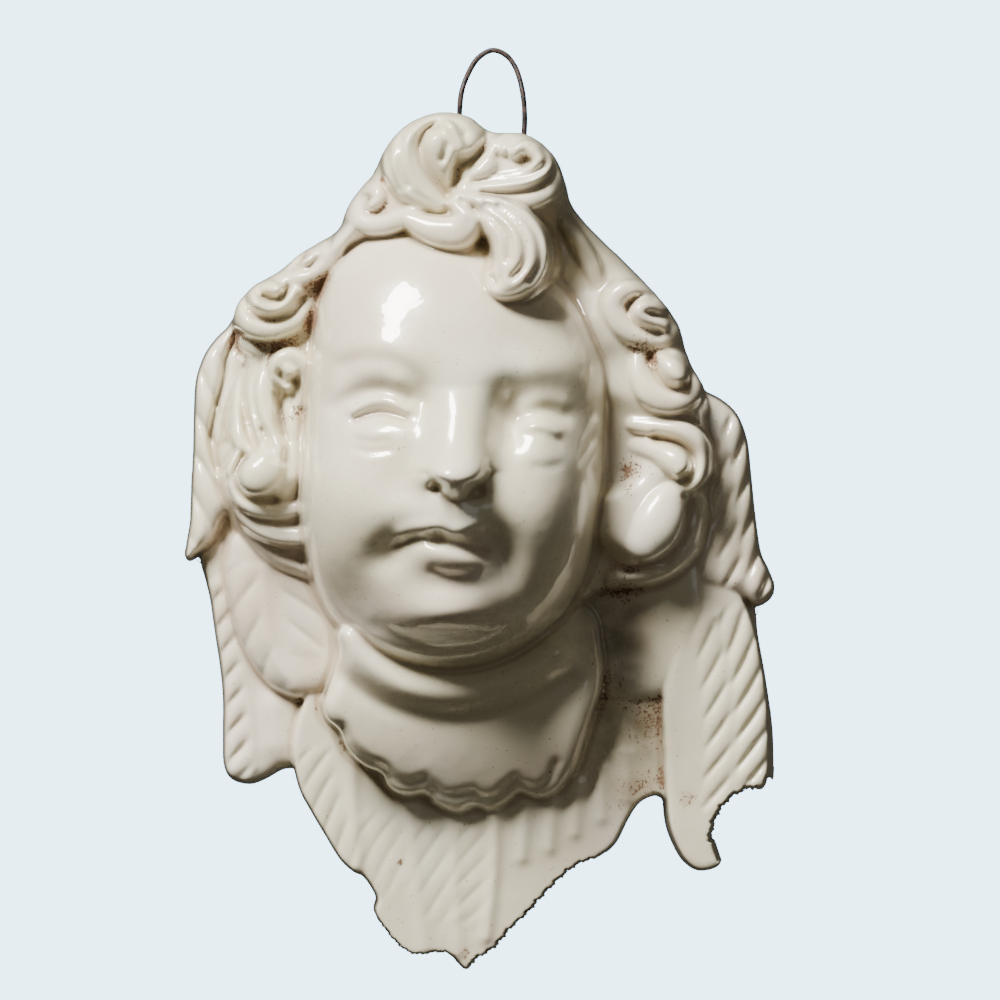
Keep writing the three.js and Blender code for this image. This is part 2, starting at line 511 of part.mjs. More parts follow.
// Rounded ridge along a line, 1 on the line
function alongLine(points, width, u, v) {
  let best = Infinity;
  for (let i = 0; i + 1 < points.length; i++) {
    const [ax, ay] = points[i];
    const dx = points[i + 1][0] - ax;
    const dy = points[i + 1][1] - ay;
    const t = clamp01(((u - ax) * dx + (v - ay) * dy) / (dx * dx + dy * dy + 1e-12));
    best = Math.min(best, (u - ax - t * dx) ** 2 + (v - ay - t * dy) ** 2);
  }
  return Math.exp((-0.5 * best) / (width * width));
}

// Soft round form, 1 at its centre
function softForm([cu, cv, su, sv, tilt], u, v) {
  const a = (tilt * Math.PI) / 180;
  const du = u - cu;
  const dv = cv - v;
  const x = du * Math.cos(a) + dv * Math.sin(a);
  const y = dv * Math.cos(a) - du * Math.sin(a);
  return Math.exp(-0.5 * ((x / su) ** 2 + (y / sv) ** 2));
}

// Slanted lobes along a spine, the barbs of a feather
function barbRise({ points, half, slant, pitch, rise }, u, v) {
  let best = Infinity;
  let along = 0;
  let across = 0;
  let run = 0;
  for (let i = 0; i + 1 < points.length; i++) {
    const [ax, ay] = points[i];
    const dx = points[i + 1][0] - ax;
    const dy = points[i + 1][1] - ay;
    const length = Math.hypot(dx, dy);
    const k = Math.min(length, Math.max(0, ((u - ax) * dx + (v - ay) * dy) / length));
    const gap = (u - ax - (k * dx) / length) ** 2 + (v - ay - (k * dy) / length) ** 2;
    if (gap < best) {
      best = gap;
      along = run + k;
      across = ((u - ax) * dy - (v - ay) * dx) / length;
    }
    run += length;
  }
  const turn = (along + slant * across) / pitch;
  const f = turn - Math.floor(turn);
  const lobe = Math.sqrt(Math.max(0, 1 - (2 * f - 1) ** 2)) - BARB_MIDDLE;
  const end = clamp01(Math.min(along, run - along) / BARB_END);
  return rise * lobe * Math.sqrt(clamp01(1 - best / (half * half))) * end;
}

// Raises a plate with a rounded edge inside an outline; crown(u, v) gives its depth
function raisePlate(outline, crown, rim, draft, share = PLATE_FALL, blend = PLATE_BLEND) {
  const points = curve(outline, true, 5);
  eachNear(points, OUTLINE_MARGIN, (at, u, v) => {
    const distance = insideBy(points, u, v) * UNIT - draft;
    const top = crown(u, v);
    const t = clamp01(1 - distance / rim);
    let depth = top - rim * share * (1 - Math.sqrt(1 - t * t));
    if (distance < 0) {
      depth = Math.max(top - rim * share, PLATE_SIDE) * (1 + distance / draft);
    }
    field[at] = smoothMax(field[at], depth, blend);
  });
}

// Lays a tapering lock of hair along its spine, with grooves between its strands
function layLock({ strands, spine }) {
  const points = curve(spine, false, 6);
  const widest = Math.max(...spine.map((row) => row[2]));
  const spans = points.length - 1;
  eachNear(points, widest + LOCK_SKIRT, (at, u, v) => {
    let best = FLOOR;
    let offset = 0;
    let along = 0;
    for (let i = 0; i < spans; i++) {
      const a = points[i];
      const b = points[i + 1];
      const dx = b[0] - a[0];
      const dy = b[1] - a[1];
      const t = clamp01(((u - a[0]) * dx + (v - a[1]) * dy) / (dx * dx + dy * dy + 1e-12));
      const px = u - a[0] - t * dx;
      const py = v - a[1] - t * dy;
      const gap = Math.hypot(px, py);
      const width = a[2] + (b[2] - a[2]) * t;
      const crown = a[3] + (b[3] - a[3]) * t;
      const drop = width * UNIT * LOCK_ROUND;
      const q = gap / width;
      const depth = q < 1 ? crown - drop * (1 - Math.sqrt(1 - q * q))
        : crown - drop - (gap - width) * UNIT * LOCK_SIDE;
      if (depth > best) {
        best = depth;
        offset = q * Math.sign(px * dy - py * dx);
        along = (i + t) / spans;
      }
    }
    if (strands > 1) {
      const f = ((Math.min(1, Math.max(-1, offset)) + 1) / 2) * strands;
      const profile = Math.sqrt(Math.max(0, 1 - (2 * (f - Math.floor(f)) - 1) ** 2));
      best += STRAND_GROOVE * (profile - 1) * clamp01(STRAND_FADE - along);
    }
    field[at] = smoothMax(field[at], Math.min(best - fall[at], limit[at]), LOCK_BLEND);
  });
}

// Radius of an outline given by rows of radii, at an angle from the right
function edgeRadius(radii, angle) {
  const k = ((angle / (2 * Math.PI) + 1) % 1) * radii.length;
  const i = Math.floor(k) % radii.length;
  return radii[i][0] + (radii[(i + 1) % radii.length][0] - radii[i][0]) * (k - Math.floor(k));
}

// Distance from the middle of the face as a share of its edge
function faceShare(u, v) {
  const du = u - FACE_CENTRE[0];
  const dv = FACE_CENTRE[1] - v;
  return Math.hypot(du, dv) / edgeRadius(faceRadii, Math.atan2(dv, du));
}

function raiseFace() {
  const far = FACE_OUTER * Math.max(...FACE_RADII);
  const reach = [[FACE_CENTRE[0] - far, FACE_CENTRE[1] - far], [FACE_CENTRE[0] + far, FACE_CENTRE[1] + far]];
  const lines = FACE_LINES.map((row) => ({ ...row, points: curve(row.line, false, 5) }));
  eachNear(reach, 0, (at, u, v) => {
    const rho = faceShare(u, v);
    if (rho > FACE_OUTER) {
      return;
    }
    let depth = FACE_EDGE - Math.max(0, rho - 1) * FACE_SIDE;
    depth += FACE_RISE * Math.sqrt(Math.max(0, 1 - rho ** FACE_POWER));
    const inside = clamp01((FORMS_END - rho) / FORMS_FADE);
    for (const form of FACE_FORMS) {
      depth += form[5] * softForm(form, u, v) * inside;
    }
    // The nose widens and rises to its tip and turns under below it
    const t = (v - NOSE_ROOT[1]) / (NOSE_TIP[1] - NOSE_ROOT[1]);
    const middle = NOSE_ROOT[0] + (NOSE_TIP[0] - NOSE_ROOT[0]) * t;
    const side = Math.abs(u - middle) / (NOSE_HALF + NOSE_SPREAD * clamp01(t));
    const under = clamp01((v - NOSE_TIP[1] + NOSE_ROUND * Math.min(side * side, 1.5)) / NOSE_UNDER);
    const ridge = NOSE_RISE * clamp01(t) ** NOSE_LIFT * Math.sqrt(1 - under * under);
    depth += ridge * Math.exp(-0.5 * side ** NOSE_POWER);
    for (const form of NOSE_FORMS) {
      depth += form[5] * softForm(form, u, v);
    }
    for (const { points, width, rise } of lines) {
      depth += rise * alongLine(points, width, u, v) * inside;
    }
    field[at] = smoothMax(field[at], depth, FACE_BLEND);
  });
}

function raiseWings() {
  for (const wing of WINGS) {
    const { outline, depth, right = 0, down = 0, from = [0, 0], rim, draft, barbs = [], quills = [] } = wing;
    const strips = barbs.map((row) => ({ ...row, points: curve(row.spine, false, 5) }));
    const ribs = quills.map((row) => ({ ...row, points: curve(row.line, false, 5) }));
    raisePlate(outline, (u, v) => {
      let crown = depth + right * (u - from[0]) + down * (v - from[1]);
      for (const strip of strips) {
        crown += barbRise(strip, u, v);
      }
      for (const { points, width, rise } of ribs) {
        crown += rise * alongLine(points, width, u, v);
      }
      return crown;
    }, rim, draft);
  }
}

// Surface that follows the crowns of the nearby locks a little below them
function hairBed(u, v) {
  let total = 1e-4;
  let depth = total * BED_DEPTH;
  for (const [cu, cv, half, crown] of bedPoints) {
    const share = half * Math.exp((-0.5 * ((u - cu) ** 2 + (v - cv) ** 2)) / BED_REACH ** 2);
    total += share;
    depth += share * crown;
  }
  return depth / total - BED_SINK - FACE_CLEARING * Math.max(0, 1 - faceShare(u, v));
}

function raiseHair() {
  raisePlate(HAIR_MASS, hairBed, HAIR_EDGE, HAIR_DRAFT, HAIR_FALL / HAIR_EDGE);
  const points = curve(HAIR_MASS, true, 5);
  eachNear(points, OUTLINE_MARGIN, (at, u, v) => {
    const distance = insideBy(points, u, v) * UNIT;
    const t = 1 - clamp01(distance / HAIR_EDGE);
    limit[at] = distance < 0 ? HAIR_SIDE * distance : Infinity;
    fall[at] = HAIR_FALL * (1 - Math.sqrt(1 - t * t));
  });
}

function raiseBust() {
  const roll = curve(NECK_ROLL.line, false, 5);
  const fold = curve(NECK_FOLD.line, false, 5);
  raisePlate(CHEST, (u, v) => {
    const y = Math.min(1.2, Math.max(-1, (v - BUST_MIDDLE[1]) / BUST_SPAN));
    return BUST_DEPTH + BUST_RIGHT * (u - BUST_MIDDLE[0]) - BUST_FALL * y * y * (y > 0 ? 1 : BUST_ABOVE)
      + NECK_ROLL.rise * alongLine(roll, NECK_ROLL.width, u, v)
      + NECK_FOLD.rise * alongLine(fold, NECK_FOLD.width, u, v);
  }, BUST_RIM, BUST_DRAFT, BUST_EDGE_FALL, BUST_BLEND);
}

function cutFurrow({ width, rise, line }) {
  const points = curve(line, false, 5);
  eachNear(line, 4 * width, (at, u, v) => {
    field[at] += rise * alongLine(points, width, u, v);
  });
}

// The glaze fills sharp hollows: three running means along the rows and the columns
function fillGlaze() {
  const reach = Math.max(1, Math.round((Math.sqrt((12 * (GLAZE_FILL / GRID_STEP) ** 2) / 3 + 1) - 1) / 2));
  const width = 2 * reach + 1;
  for (let at = 0; at < field.length; at++) {
    field[at] = Math.max(field[at], LEAST_FIELD);
  }
  const mean = (count, start, stride) => {
    const line = new Float64Array(count);
    for (let i = 0; i < count; i++) {
      let sum = 0;
      for (let k = -reach; k <= reach; k++) {
        sum += field[start + stride * Math.min(count - 1, Math.max(0, i + k))];
      }
      line[i] = sum / width;
    }
    line.forEach((value, i) => {
      field[start + stride * i] = value;
    });
  };
  for (let pass = 0; pass < 2; pass++) {
    for (let j = 0; j < ROWS; j++) {
      mean(COLUMNS, j * COLUMNS, 1);
    }
    for (let i = 0; i < COLUMNS; i++) {
      mean(ROWS, i, COLUMNS);
    }
  }
}

// Cuts the grid along the line where the relief meets the wall plane
function skinOfField() {
  const points = [];
  const triangles = [];
  const nodeOf = new Map();
  const crossOf = new Map();
  const node = (at) => {
    if (!nodeOf.has(at)) {
      nodeOf.set(at, points.length);
      const i = at % COLUMNS;
      const j = Math.floor(at / COLUMNS);
      points.push([toRight(unitRight(i)), -field[at], toUp(unitDown(j))]);
    }
    return nodeOf.get(at);
  };
  const cross = (a, b) => {
    const key = Math.min(a, b) * field.length + Math.max(a, b);
    if (!crossOf.has(key)) {
      crossOf.set(key, points.length);
      const [lo, hi] = a < b ? [a, b] : [b, a];
      const t = Math.min(0.92, Math.max(0.08, field[lo] / (field[lo] - field[hi])));
      const u = unitRight(lo % COLUMNS) + t * (unitRight(hi % COLUMNS) - unitRight(lo % COLUMNS));
      const v0 = unitDown(Math.floor(lo / COLUMNS));
      const v1 = unitDown(Math.floor(hi / COLUMNS));
      points.push([toRight(u), 0, toUp(v0 + t * (v1 - v0))]);
    }
    return crossOf.get(key);
  };
  const cut = (a, b, c) => {
    const ring = [a, b, c];
    const poly = [];
    for (let k = 0; k < 3; k++) {
      const p = ring[k];
      const q = ring[(k + 1) % 3];
      if (field[p] > 0) {
        poly.push(node(p));
      }
      if (field[p] > 0 !== field[q] > 0) {
        poly.push(cross(p, q));
      }
    }
    for (let k = 1; k + 1 < poly.length; k++) {
      triangles.push([poly[0], poly[k], poly[k + 1]]);
    }
  };
  for (let j = 0; j + 1 < ROWS; j++) {
    for (let i = 0; i + 1 < COLUMNS; i++) {
      const a = j * COLUMNS + i;
      const b = a + 1;
      const c = a + COLUMNS + 1;
      const d = a + COLUMNS;
      if (Math.abs(field[a] - field[c]) < Math.abs(field[b] - field[d])) {
        cut(a, b, c);
        cut(a, c, d);
      } else {
        cut(a, b, d);
        cut(b, c, d);
      }
    }
  }
  return { points, triangles };
}

// Thins the skin: joins the two ends of the edge that changes the form least, again and again.
// Points on the wall plane stay on it, and no triangle may turn over when seen from the front.
function thinSkin({ points, triangles }, wanted) {
  const live = triangles.map(() => true);
  const around = points.map(() => new Set());
  triangles.forEach((tri, t) => tri.forEach((p) => around[p].add(t)));
  const quadric = points.map(() => new Float64Array(10));
  const onWall = points.map((p) => p[1] === 0);
  const stamp = new Int32Array(points.length);
  const gone = points.map(() => false);

  const addPlane = (q, [a, b, c], d, weight) => {
    const row = [a, b, c, d];
    let k = 0;
    for (let i = 0; i < 4; i++) {
      for (let j = i; j < 4; j++) {
        q[k] += weight * row[i] * row[j];
        k += 1;
      }
    }
  };
  const crossOf = (p, q, r) => {
    const [ux, uy, uz] = [q[0] - p[0], q[1] - p[1], q[2] - p[2]];
    const [vx, vy, vz] = [r[0] - p[0], r[1] - p[1], r[2] - p[2]];
    return [uy * vz - uz * vy, uz * vx - ux * vz, ux * vy - uy * vx];
  };
  for (const tri of triangles) {
    const [p, q, r] = tri.map((k) => points[k]);
    const n = crossOf(p, q, r);
    const size = Math.hypot(...n) + 1e-12;
    const unit = n.map((k) => k / size);
    const d = -(unit[0] * p[0] + unit[1] * p[1] + unit[2] * p[2]);
    tri.forEach((k) => addPlane(quadric[k], unit, d, size / 2));
    for (let k = 0; k < 3; k++) {
      const [e, f] = [tri[k], tri[(k + 1) % 3]];
      if (onWall[e] && onWall[f]) {
        const [ex, ez] = [points[f][0] - points[e][0], points[f][2] - points[e][2]];
        const span = Math.hypot(ex, ez) + 1e-12;
        const side = [ez / span, 0, -ex / span];
        const offset = -(side[0] * points[e][0] + side[2] * points[e][2]);
        addPlane(quadric[e], side, offset, OUTLINE_WEIGHT * span);
        addPlane(quadric[f], side, offset, OUTLINE_WEIGHT * span);
      }
    }
  }
  const errorAt = (q, [x, y, z]) => q[0] * x * x + q[4] * y * y + q[7] * z * z + q[9]
    + 2 * (q[1] * x * y + q[2] * x * z + q[5] * y * z + q[3] * x + q[6] * y + q[8] * z);
  const bestPoint = (q, p, r) => {
    const m = new THREE.Matrix3().set(q[0], q[1], q[2], q[1], q[4], q[5], q[2], q[5], q[7]);
    const choices = [p, r, p.map((k, i) => (k + r[i]) / 2)];
    const det = m.determinant();
    const scale = q[0] + q[4] + q[7];
    if (Math.abs(det) > LEAST_SPREAD * scale ** 3) {
      const v = new THREE.Vector3(-q[3], -q[6], -q[8]).applyMatrix3(m.invert());
      const far = Math.hypot(v.x - choices[2][0], v.y - choices[2][1], v.z - choices[2][2]);
      const span = Math.hypot(p[0] - r[0], p[1] - r[1], p[2] - r[2]);
      if (far < span && v.y < -LEAST_DEPTH) {
        choices.push([v.x, v.y, v.z]);
      }
    }
    let best = choices[0];
    for (const choice of choices) {
      best = errorAt(q, choice) < errorAt(q, best) ? choice : best;
    }
    return best;
  };

  // Heap of possible joins, the cheapest on top
  const heap = [];
  const push = (item) => {
    let i = heap.length;
    heap.push(item);
    while (i > 0) {
      const up = (i - 1) >> 1;
      if (heap[up].cost <= heap[i].cost) {
        break;
      }
      [heap[up], heap[i]] = [heap[i], heap[up]];
      i = up;
    }
  };
  const pop = () => {
    const top = heap[0];
    const last = heap.pop();
    if (heap.length > 0) {
      heap[0] = last;
      let i = 0;
      for (;;) {
        const left = 2 * i + 1;
        const right = left + 1;
        let low = i;
        low = left < heap.length && heap[left].cost < heap[low].cost ? left : low;
        low = right < heap.length && heap[right].cost < heap[low].cost ? right : low;
        if (low === i) {
          break;
        }
        [heap[low], heap[i]] = [heap[i], heap[low]];
        i = low;
      }
    }
    return top;
  };
  const shared = (a, b) => [...around[a]].filter((t) => around[b].has(t));
  const offer = (a, b) => {
    const both = shared(a, b);
    if (onWall[a] && onWall[b] && both.length !== 1) {
      return;
    }
    const q = quadric[a].map((k, i) => k + quadric[b][i]);
    let at;
    if (onWall[a] && onWall[b]) {
      at = errorAt(q, points[a]) < errorAt(q, points[b]) ? points[a] : points[b];
    } else if (onWall[a]) {
      at = points[a];
    } else if (onWall[b]) {
      at = points[b];
    } else {
      at = bestPoint(q, points[a], points[b]);
    }
    const span = Math.hypot(...points[a].map((k, i) => k - points[b][i]));
    push({ cost: errorAt(q, at) + SPAN_COST * span, a, b, at, from: stamp[a], to: stamp[b] });
  };
  const neighbours = (a) => {
    const out = new Set();
    around[a].forEach((t) => triangles[t].forEach((p) => p !== a && out.add(p)));
    return out;
  };
  const turnsOver = (a, other, at) => {
    for (const t of around[a]) {
      const tri = triangles[t];
      if (tri.includes(other)) {
        continue;
      }
      const [p, q, r] = tri.map((k) => (k === a ? at : points[k]));
      const n = crossOf(p, q, r);
      const old = crossOf(...tri.map((k) => points[k]));
      const size = Math.hypot(...n);
      const turn = n[0] * old[0] + n[1] * old[1] + n[2] * old[2];
      if (-n[1] < LEAST_FACING * size + LEAST_SPREAD || turn < LEAST_TURN * size * Math.hypot(...old)) {
        return true;
      }
    }
    return false;
  };
  for (let a = 0; a < points.length; a++) {
    neighbours(a).forEach((b) => a < b && offer(a, b));
  }
  let count = triangles.length;
  while (count > wanted && heap.length > 0) {
    const { a, b, at, from, to } = pop();
    if (gone[a] || gone[b] || stamp[a] !== from || stamp[b] !== to) {
      continue;
    }
    const both = shared(a, b);
    const near = neighbours(b);
    const common = [...neighbours(a)].filter((p) => near.has(p));
    if (common.length !== both.length || turnsOver(a, b, at) || turnsOver(b, a, at)) {
      continue;
    }
    both.forEach((t) => {
      live[t] = false;
      triangles[t].forEach((p) => around[p].delete(t));
    });
    count -= both.length;
    around[b].forEach((t) => {
      triangles[t] = triangles[t].map((p) => (p === b ? a : p));
      around[a].add(t);
    });
    points[a] = at;
    onWall[a] = onWall[a] || onWall[b];
    quadric[a] = quadric[a].map((k, i) => k + quadric[b][i]);
    gone[b] = true;
    stamp[a] += 1;
    neighbours(a).forEach((p) => offer(a, p));
  }
  return { points, triangles: triangles.filter((_, t) => live[t]) };
}

// Keeps the largest connected piece of the skin and numbers its points afresh
function largestPiece({ points, triangles }) {
  const parent = points.map((_, i) => i);
  const find = (i) => {
    while (parent[i] !== i) {
      parent[i] = parent[parent[i]];
      i = parent[i];
    }
    return i;
  };
  triangles.forEach(([a, b, c]) => {
    parent[find(a)] = find(b);
    parent[find(b)] = find(c);
  });
  const sizes = new Map();
  triangles.forEach(([a]) => sizes.set(find(a), (sizes.get(find(a)) ?? 0) + 1));
  const main = [...sizes].sort((a, b) => b[1] - a[1])[0][0];
  const numbers = new Map();
  const kept = [];
  const number = (p) => {
    if (!numbers.has(p)) {
      numbers.set(p, kept.length);
      kept.push(points[p]);
    }
    return numbers.get(p);
  };
  const faces = triangles.filter(([a]) => find(a) === main).map((tri) => tri.map(number));
  return { points: kept, triangles: faces };
}

// Closes the skin with a flat face on the wall plane
function closeBack({ points, triangles }) {
  const next = new Map();
  const seen = new Set(triangles.flatMap(([a, b, c]) => [`${a},${b}`, `${b},${c}`, `${c},${a}`]));
  triangles.forEach((tri) => tri.forEach((a, k) => {
    const b = tri[(k + 1) % 3];
    if (!seen.has(`${b},${a}`)) {
      next.set(a, b);
    }
  }));
  const loops = [];
  while (next.size > 0) {
    const loop = [];
    let at = next.keys().next().value;
    while (next.has(at)) {
      loop.push(at);
      const to = next.get(at);
      next.delete(at);
      at = to;
    }
    loops.push(loop);
  }
  loops.sort((a, b) => b.length - a.length);
  const flat = (loop) => loop.map((k) => new THREE.Vector2(points[k][0], points[k][2]));
  const faces = THREE.ShapeUtils.triangulateShape(flat(loops[0]), loops.slice(1).map(flat));
  const order = loops.flat();
  return { points, triangles: [...triangles, ...faces.map(([a, b, c]) => [order[a], order[c], order[b]])] };
}

function solidOf({ points, triangles }) {
  return new wasm.Manifold(new wasm.Mesh({
    numProp: 3,
    vertProperties: new Float32Array(points.flat()),
    triVerts: new Uint32Array(triangles.flat()),
  }));
}

// Turns a three.js geometry into a solid, welding points that coincide
function solidOfGeometry(geometry) {
  const source = geometry.index ? geometry.toNonIndexed() : geometry;
  const position = source.getAttribute('position');
  const numbers = new Map();
  const points = [];
  const triangles = [];
  for (let i = 0; i < position.count; i += 3) {
    const tri = [0, 1, 2].map((k) => {
      const p = [position.getX(i + k), position.getY(i + k), position.getZ(i + k)];
      const key = p.map((c) => Math.round(c * 1e4)).join();
      if (!numbers.has(key)) {
        numbers.set(key, points.length);
        points.push(p);
      }
      return numbers.get(key);
    });
    if (new Set(tri).size === 3) {
      triangles.push(tri);
    }
  }
  return solidOf({ points, triangles });
}

function geometryOf(solid) {
  const mesh = solid.getMesh();
  const geometry = new THREE.BufferGeometry();
  geometry.setAttribute('position', new THREE.BufferAttribute(new Float32Array(mesh.vertProperties), 3));
  geometry.setIndex(new THREE.BufferAttribute(new Uint32Array(mesh.triVerts), 1));
  const faceted = geometry.toNonIndexed();
  faceted.computeVertexNormals();
  return faceted;
}

// Least depth of the front within reach of a point
function leastFront(u, v) {
  let least = Infinity;
  eachNear([[u, v]], WALL_REACH / UNIT, (at, x, y) => {
    if (Math.hypot(x - u, y - v) * UNIT <= WALL_REACH) {
      least = Math.min(least, field[at]);
    }
  });
  return least;
}

// The hollow follows the front a wall's thickness behind it, in rings about its centre
function hollowBack() {
  const radii = curve(HOLLOW_RADII.map((r) => [r]), true, 20);
  const points = [[toRight(HOLLOW_CENTRE[0]), HOLLOW_OVERRUN, toUp(HOLLOW_CENTRE[1])]];
  const triangles = [];
  const ring = (share, depthAt) => {
    for (let k = 0; k < HOLLOW_SIDES; k++) {
      const angle = (k / HOLLOW_SIDES) * 2 * Math.PI;
      const r = share * edgeRadius(radii, angle);
      const u = HOLLOW_CENTRE[0] + r * Math.cos(angle);
      const v = HOLLOW_CENTRE[1] - r * Math.sin(angle);
      points.push([toRight(u), depthAt(u, v, share), toUp(v)]);
    }
  };
  const floorAt = (u, v, share) => {
    const shoulder = HOLLOW_SHOULDER * Math.sqrt(1 - share ** 4);
    return -Math.max(0.5, Math.min(leastFront(u, v) - WALL, shoulder));
  };
  ring(1, () => HOLLOW_OVERRUN);
  ring(1, () => 0);
  for (let k = HOLLOW_RINGS; k > 0; k--) {
    ring(Math.sin((k / (HOLLOW_RINGS + 0.5)) * (Math.PI / 2)), floorAt);
  }
  points.push([toRight(HOLLOW_CENTRE[0]), floorAt(...HOLLOW_CENTRE, 0), toUp(HOLLOW_CENTRE[1])]);
  const last = points.length - 1;
  const count = HOLLOW_RINGS + 2;
  for (let k = 0; k < HOLLOW_SIDES; k++) {
    const n = (k + 1) % HOLLOW_SIDES;
    triangles.push([0, 1 + n, 1 + k]);
    for (let level = 0; level + 1 < count; level++) {
      const near = 1 + level * HOLLOW_SIDES;
      const far = near + HOLLOW_SIDES;
      triangles.push([near + k, near + n, far + n], [near + k, far + n, far + k]);
    }
    const rim = 1 + (count - 1) * HOLLOW_SIDES;
    triangles.push([rim + k, rim + n, last]);
  }
  return solidOf({ points, triangles });
}

// The wire stands off the wall more at its legs than at its crown
function wireCurve() {
  const top = Math.min(...LOOP.map((row) => row[1]));
  return new THREE.CatmullRomCurve3(LOOP.map(([u, v]) => {
    const t = clamp01((v - top) / (LEG_START - top));
    const depth = CROWN_DEPTH + (LEG_DEPTH - CROWN_DEPTH) * t * t * (3 - 2 * t);
    return new THREE.Vector3(toRight(u), -depth, toUp(v));
  }), false, 'centripetal');
}

function wireRod(radius) {
  const section = new THREE.Shape();
  section.absarc(0, 0, radius, 0, 2 * Math.PI, false);
  return new THREE.ExtrudeGeometry(section, {
    steps: WIRE_STEPS,
    curveSegments: WIRE_HALF_SIDES,
    bevelEnabled: false,
    extrudePath: wireCurve(),
  });
}

const faceRadii = curve(FACE_RADII.map((r) => [r]), true, 20);
const bedPoints = LOCKS.flatMap((lock) => lock.spine).filter((row) => row[3] < BED_HIGHEST);
raiseWings();
raiseHair();
raiseBust();
raiseFace();
LOCKS.forEach(layLock);
FURROWS.forEach(cutFurrow);
fillGlaze();

const skin = largestPiece(thinSkin(largestPiece(skinOfField()), FRONT_TRIANGLES));
let casting = solidOf(closeBack(skin));
casting = casting.subtract(hollowBack());
casting = casting.subtract(solidOfGeometry(wireRod(WIRE_DIAMETER / 2 + HOLE_CLEARANCE)));

const glaze = new THREE.MeshStandardMaterial({ color: 0xe9e2d0, roughness: 0.18, metalness: 0 });
const iron = new THREE.MeshStandardMaterial({ color: 0x3b2a24, roughness: 0.75, metalness: 0.6 });
glaze.name = 'glaze';
iron.name = 'iron';

const plaque = new THREE.Mesh(geometryOf(casting), glaze);
plaque.name = 'cherub_plaque';
const wire = new THREE.Mesh(wireRod(WIRE_DIAMETER / 2), iron);
wire.name = 'hanging_wire';

const group = new THREE.Group();
group.name = 'cherub_wall_plaque';
group.add(plaque, wire);
export default group;
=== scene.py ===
import math

import bpy
import numpy as np
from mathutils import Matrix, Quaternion, Vector
from mathutils.geometry import tessellate_polygon


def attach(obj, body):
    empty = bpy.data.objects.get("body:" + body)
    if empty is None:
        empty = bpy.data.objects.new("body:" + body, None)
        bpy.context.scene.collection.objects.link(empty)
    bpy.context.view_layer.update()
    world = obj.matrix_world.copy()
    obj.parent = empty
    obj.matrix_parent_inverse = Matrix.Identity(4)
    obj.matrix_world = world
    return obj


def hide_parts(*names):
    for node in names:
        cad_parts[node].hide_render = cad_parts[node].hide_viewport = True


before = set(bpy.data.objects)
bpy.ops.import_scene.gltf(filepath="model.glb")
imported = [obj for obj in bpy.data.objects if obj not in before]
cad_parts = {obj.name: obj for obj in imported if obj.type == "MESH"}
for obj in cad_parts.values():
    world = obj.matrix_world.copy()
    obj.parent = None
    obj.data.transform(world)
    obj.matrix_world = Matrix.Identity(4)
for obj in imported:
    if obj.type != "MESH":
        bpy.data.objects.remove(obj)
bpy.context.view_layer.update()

MM = 0.001

# Size of the plaque and of its drawing, and the part of the drawing that is carved, in cells
PLAQUE_HEIGHT, DRAWING_HEIGHT = 320.0, 865.0
UNIT = PLAQUE_HEIGHT / DRAWING_HEIGHT
NAIL = (492.0, 47.0)
FIELD_LEFT, FIELD_RIGHT = 166.0, 794.0
FIELD_TOP, FIELD_BOTTOM = 88.0, 994.0
CELL = 0.4
FLOOR, OUTSIDE = -40.0, -6.0
NO_LENGTH = 1e-12

# Edges, falls and blends of the forms
PLATE_MARGIN, PLATE_LEAST = 12.0, 4.0
LOCK_MARGIN, LOCK_ROUND, LOCK_SIDE, LOCK_BLEND = 18.0, 0.85, 9.0, 0.8
STRAND_GROOVE, STRAND_END = 1.3, 1.4
BARB_SINK, BARB_FADE = 0.75, 10.0
HAIR_EDGE, HAIR_FALL, HAIR_DRAFT, HAIR_LIMIT = 7.0, 20.0, 0.6, 60.0
BED_DEPTH, BED_HIGHEST, BED_REACH, BED_SINK, BED_LEAST = 44.0, 75.0, 15.0, 3.5, 1e-4
FACE_CLEARING = 250.0
FORMS_END, FORMS_FADE = 1.03, 0.12
GLAZE_FILL, FOLD_REACH, FOLD_DEPTH = 0.55, 2.2, 2.0
TOOTH_PITCHES, TOOTH_SLOPE = (5.2, 14.04), 14.0

# Wall of the casting at its hollow back, and the wire
WALL, WALL_REACH, HOLLOW_SHOULDER = 6.5, 8.5, 95.0
WIRE_DIAMETER, WIRE_SIDES, WIRE_STEPS = 2.0, 14, 12
SWELL_STEP, SWELL_LEAST, SWELL_MOST = 6, 0.95, 1.04
CROWN_DEPTH, LEG_DEPTH, LEG_START = 2.2, 7.0, 104.0

# Outlines: right and down in drawing units, clockwise from the top
BACKING = [
    (300, 500), (620, 500), (715, 550), (742, 640), (735, 740), (700, 795), (662, 798), (620, 815),
    (480, 900), (345, 800), (300, 772), (287, 762), (268, 745), (240, 660), (216, 560), (211, 520),
    (240, 490),
]
HAIR_MASS = [
    (446, 111), (470, 116), (484, 126), (500, 131), (522, 132), (541, 141), (556, 156), (564, 176),
    (571, 200), (583, 217), (601, 236), (621, 255), (641, 275), (662, 298), (678, 319), (685, 340),
    (692, 362), (707, 390), (716, 430), (716, 480), (712, 530), (698, 565), (660, 592), (600, 600),
    (560, 640), (450, 660), (350, 630), (312, 590), (268, 572), (236, 540), (220, 500), (214, 462),
    (224, 415), (236, 368), (231, 325), (235, 303), (252, 284), (276, 270), (298, 252), (321, 238),
    (338, 225), (349, 200), (371, 172), (384, 148), (402, 127), (424, 115),
]
LEFT_UPPER_WING = [
    (236, 320), (222, 327), (209, 340), (199, 356), (192, 378), (190, 405), (189, 450), (187, 490),
    (186, 520), (182, 545), (181, 557), (186, 562), (198, 554), (212, 540), (222, 522), (238, 500),
    (250, 420),
]
